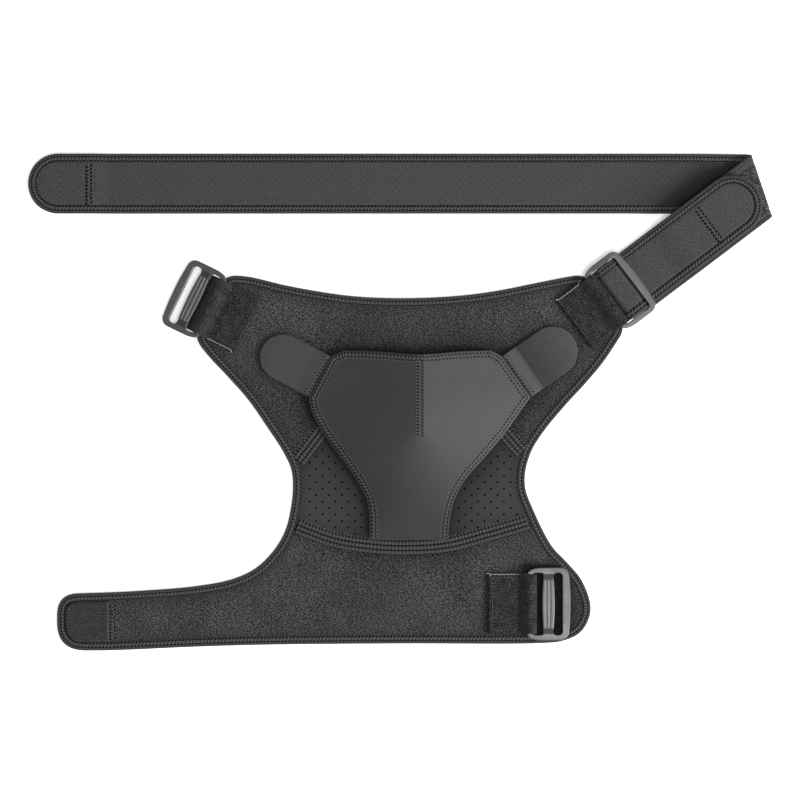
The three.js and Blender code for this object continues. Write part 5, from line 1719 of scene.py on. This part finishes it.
def makeHookPatches():
    radius = strapHalf - 7.8
    angle = np.linspace(0.02, 0.5, 20) * math.pi
    x = np.concatenate([strapHalf - radius * np.cos(angle), [strapHalf + 12, strapSpec["patchLength"]]])
    half = np.concatenate([radius * np.sin(angle), [radius, radius]])
    start, tip = strapPoint(0.0, 0.0, 0.0), strapPoint(strapTotal, 0.0, 0.0)
    hookPlate("strapHooks", x, -half, half, 0.0, "strap_hook_patch", start[:2])
    hookPlate("foldedHooks", x, -half, half, upperLegZ + strapSpec["thick"] / 2 + touchGap,
              "folded_hook_patch", tip[:2], legHeading)
    left, right, x, low, high = tonguePatch()
    hookPlate("cuffHooks", x, low, high, onBody, "cuff_hook_patch")
    makeHookRows(left, right, x, low, high)
    makePatchStitch(right + 3.2, low[-1] + 1.5, high[-1] - low[-1] - 3.0)


def tonguePatch():
    # the tongue's patch ends just inside the tape: its lower and upper edge at each column x
    inner = onLine(bodyEdge, bodyEdge["length"][:-1], 7.95)
    inner = inner[insideOf(onLine(bodyEdge, bodyEdge["length"][:-1], 7.7), inner)]
    right = bodyShift[0] + strapSpec["cuffPatch"]
    near = inner[inner[:, 0] < right + 3]
    left = near[:, 0].min()
    x = left + 0.15 + (right - left - 0.15) * (1 - np.cos(np.linspace(0, np.pi / 2, 30)))
    middle = near[:, 1].mean()
    upper, lower = near[near[:, 1] > middle], near[near[:, 1] <= middle]
    upper, lower = upper[np.argsort(upper[:, 0])], lower[np.argsort(lower[:, 0])]
    high, low = np.interp(x, upper[:, 0], upper[:, 1]), np.interp(x, lower[:, 0], lower[:, 1])
    return left, right, x, low, high


def makeHookRows(left, right, x, low, high):
    # rows of small crooked hooks, every other row leaning the other way
    top, pitch = onBody + strapSpec["patchThick"], strapSpec["hookPitch"]
    gx, gy = np.meshgrid(np.arange(left + 1.2, right - 1.0, pitch), np.arange(low.min(), high.max(), pitch))
    keep = (gy > np.interp(gx, x, low) + 0.9) & (gy < np.interp(gx, x, high) - 0.9)
    lean = np.where((np.round((gy - low.min()) / pitch) % 2) == 0, 1.0, -1.0)[keep]
    gx, gy = gx[keep], gy[keep]
    turn = np.linspace(-0.3, 1.1, 6) * math.pi
    hook = np.stack([
        gx[:, None] + 0.32 * (1 - np.cos(turn)) * 0.9 - 0.25 + 0 * lean[:, None],
        gy[:, None] + 0.1 * lean[:, None] + 0 * turn,
        top + 0.28 + 0.42 * np.sin(turn) + 0 * gx[:, None]], -1)
    addPiece("cuffHookRows", tubes(hook, 0.13, 4), hookFinish, "hook_tape")


def makePatchStitch(x, y, length):
    # cross stitch beside the patch
    def place(q, inset, height):
        q, inset, height = matched(q, inset, height)
        return np.stack([x + inset, y + q, height], -1)

    top = bodySpec["thick"] + 0.15
    rows = [("hole", -1.9, top, 0.8, 0.0), ("dash", 0.0, top + 0.05, 2.6, 0.5),
            ("hole", 1.9, top, 0.8, 0.5)]
    sewRows("cuffPatch", place, length, rows, "loop_fabric")


# Pile on the loop faces and frayed yarns at the webbing's cut ends

pileSpec = {"count": 30000, "tries": 4, "length": 0.9, "width": 0.2, "height": 0.32}


def makeLoops(name, roots):
    # each loop is a small four-sided sliver lying nearly flat in its own direction
    n = len(roots)
    heading = rng.uniform(0, 2 * np.pi, n)
    size = pileSpec["length"] * rng.uniform(0.6, 1.3, n)
    along = np.column_stack([np.cos(heading), np.sin(heading), np.zeros(n)]) * size[:, None]
    side = np.column_stack([-np.sin(heading), np.cos(heading), np.zeros(n)]) * pileSpec["width"]
    up = np.array([0, 0, pileSpec["height"]]) * rng.uniform(0.5, 1.2, n)[:, None]
    corners = np.stack([roots - along / 2, roots + along / 2, roots + side, roots + up + side * 0.3], 1)
    faces = np.array([[0, 1, 3], [1, 2, 3], [2, 0, 3], [0, 2, 1]])
    faces = (faces[None] + (np.arange(n) * 4)[:, None, None]).reshape(-1, 3)
    addPiece(name, (corners.reshape(-1, 3), [faces]), loopFinish, "loop_fabric", smooth=False)


def openLoopPlaces(wanted):
    # random places on the wanted panel that no tape, band, shield, tab, webbing or buckle covers
    low, high = bodyEdge["line"].min(0), bodyEdge["line"].max(0)
    spots = rng.uniform(low, high, (pileSpec["count"] * pileSpec["tries"], 2))
    inner = onLine(bodyEdge, bodyEdge["length"][:-1:2], 8.2)
    spots = spots[insideOf(inner, spots)]
    spots = spots[wanted(spots)]
    seam = distanceTo(np.vstack([ventSeam["line"][::2], cuffSeam["line"][::2]]), spots)
    spots = spots[seam > 6.4]
    spots = spots[~insideOf(onLine(shieldEdge, shieldEdge["length"][:-1:2], -0.6), spots)]
    for side in ("left", "right"):
        middle, away, across, radius = tabFrame(side)
        past, w = (spots - middle) @ away, (spots - middle) @ across
        reach = tabSpec[side]["length"] - radius
        under = (past > -1) & (np.hypot(np.maximum(0, past - reach), w) < radius + 0.6)
        spots = spots[~under]
    for side in holders:
        x, y = inFrame(side, spots).T
        webbed = (x > -holders[side][4] - 0.2) & (x < 8) & (np.abs(y) < webbingSpec["width"] / 2 + 0.3)
        framed = (x > -4) & (x < freeEnd + 0.5) & (np.abs(y) < buckleHalf + 0.3)
        spots = spots[~webbed & ~framed]
    patch = spots[:, 0] < bodyShift[0] + strapSpec["cuffPatch"] + 6
    return spots[~patch][:pileSpec["count"]]


def makePile():
    plan = [("yokePile", lambda p: p[:, 1] > seamHeight(ventSeam, p[:, 0])),
            ("cuffPile", lambda p: p[:, 1] < seamHeight(cuffSeam, p[:, 0]))]
    for name, wanted in plan:
        spots = openLoopPlaces(wanted)
        makeLoops(name, standing(spots, panelHeight(spots)[0] - 0.05))
        print(name, len(spots))


def strands(starts, headings, length, radius, rise):
    # thin curling yarns: each turns a little more at every step
    steps = 12
    turn = rng.normal(0, 0.32, (len(starts), steps)).cumsum(1) + headings[:, None]
    step = length * rng.uniform(0.5, 1.2, len(starts))[:, None] / steps
    x = starts[:, :1] + np.cumsum(step * np.cos(turn), 1)
    y = starts[:, 1:2] + np.cumsum(step * np.sin(turn), 1)
    hump = rise * np.sin(np.linspace(0, np.pi, steps))[None]
    z = starts[:, 2:] + hump * rng.uniform(0.3, 1, (len(starts), 1))
    return tubes(np.stack([x, y, z], -1), radius, 4)


yarnSpec = {  # edges as (side, from, to), ends as (along, side, heading)
    "cutEnds": 260,
    "left": {"edges": [(1, -32.0, -1.0)], "ends": [(-31.5, 1, 2.6)]},
    "right": {"edges": [(1, -31.0, -8.0)], "ends": [(-31.0, 1, 2.6), (-31.5, 1, 1.6), (-9.0, 1, 1.2)]},
    "cuff": {"edges": [(1, -34.0, 1.0)], "ends": [(-33.5, 1, 2.5), (-33.0, 1, -2.4)]},
}


def makeFrays():
    parts, dark = [], []
    top, half, n = onBody + 2 * webbingSpec["thick"], webbingSpec["width"] / 2, yarnSpec["cutEnds"]
    for side in holders:
        place, heading, _, _, length = holders[side]
        y = rng.uniform(-half, half, n)
        ends = np.column_stack([np.full(n, -length + 0.2), y, rng.uniform(onBody + 0.2, top, n)])
        outward = np.full(n, heading + math.pi) + rng.normal(0, 0.7, n)
        dark.append(strands(turned(ends, place, heading), outward, 2.2, 0.09, 0.4))
        x, edgeSide, leaning = np.array(yarnSpec[side]["ends"]).T
        edge = np.column_stack([x, edgeSide * half, np.full(len(x), top - 0.1)])
        parts.append(strands(turned(edge, place, heading), heading + leaning, 3.4, 0.2, 0.5))
        for edgeSide, low, high in yarnSpec[side]["edges"]:
            count = int((high - low) / 1.5)
            k = np.arange(count)[:, None]
            run = low + (k + np.linspace(0.1, 0.75, 4)[None]) * 1.5
            y = edgeSide * (half - 0.25) + 0.12 * np.sin(k * 2.3) + 0 * run
            bowed = top - 0.2 + 0.12 * np.sin(np.pi * np.linspace(0, 1, 4))[None] + 0 * run
            parts.append(tubes(turned(np.stack([run, y, bowed], -1), place, heading), 0.26, 5))
    addPiece("paleYarns", joined(parts), frayFinish, "webbing")
    addPiece("cutEndYarns", joined(dark), webFinish, "webbing")


makePanels()
for side in holders:
    makeWebbing(side, "webbing_" + side)
for side in holders:
    makeBuckle(side, "buckle_" + side)
print("webbing and buckles made")
makeStrap()
makeStrapTape()
makeCrossStitch("startCross", strapSpec["patchLength"] + 1.5)
makeCrossStitch("foldedCross", strapTotal - strapSpec["patchLength"] - 1.5)
makeHookPatches()
print("strap and patches made")
makePile()
makeFrays()
print("pile and yarns made")


# Floor

floorHalf = stageSpec["floorSize"] / 2 / mm
corners = np.array([(-1, -1), (1, -1), (1, 1), (-1, 1)]) * floorHalf
floorPoints = np.column_stack([corners, np.full(4, -stageSpec["floorDrop"] / mm)])
floor = putMesh("floor", floorPoints, [np.array([[0, 1, 2, 3]])], floorFinish, smooth=False)
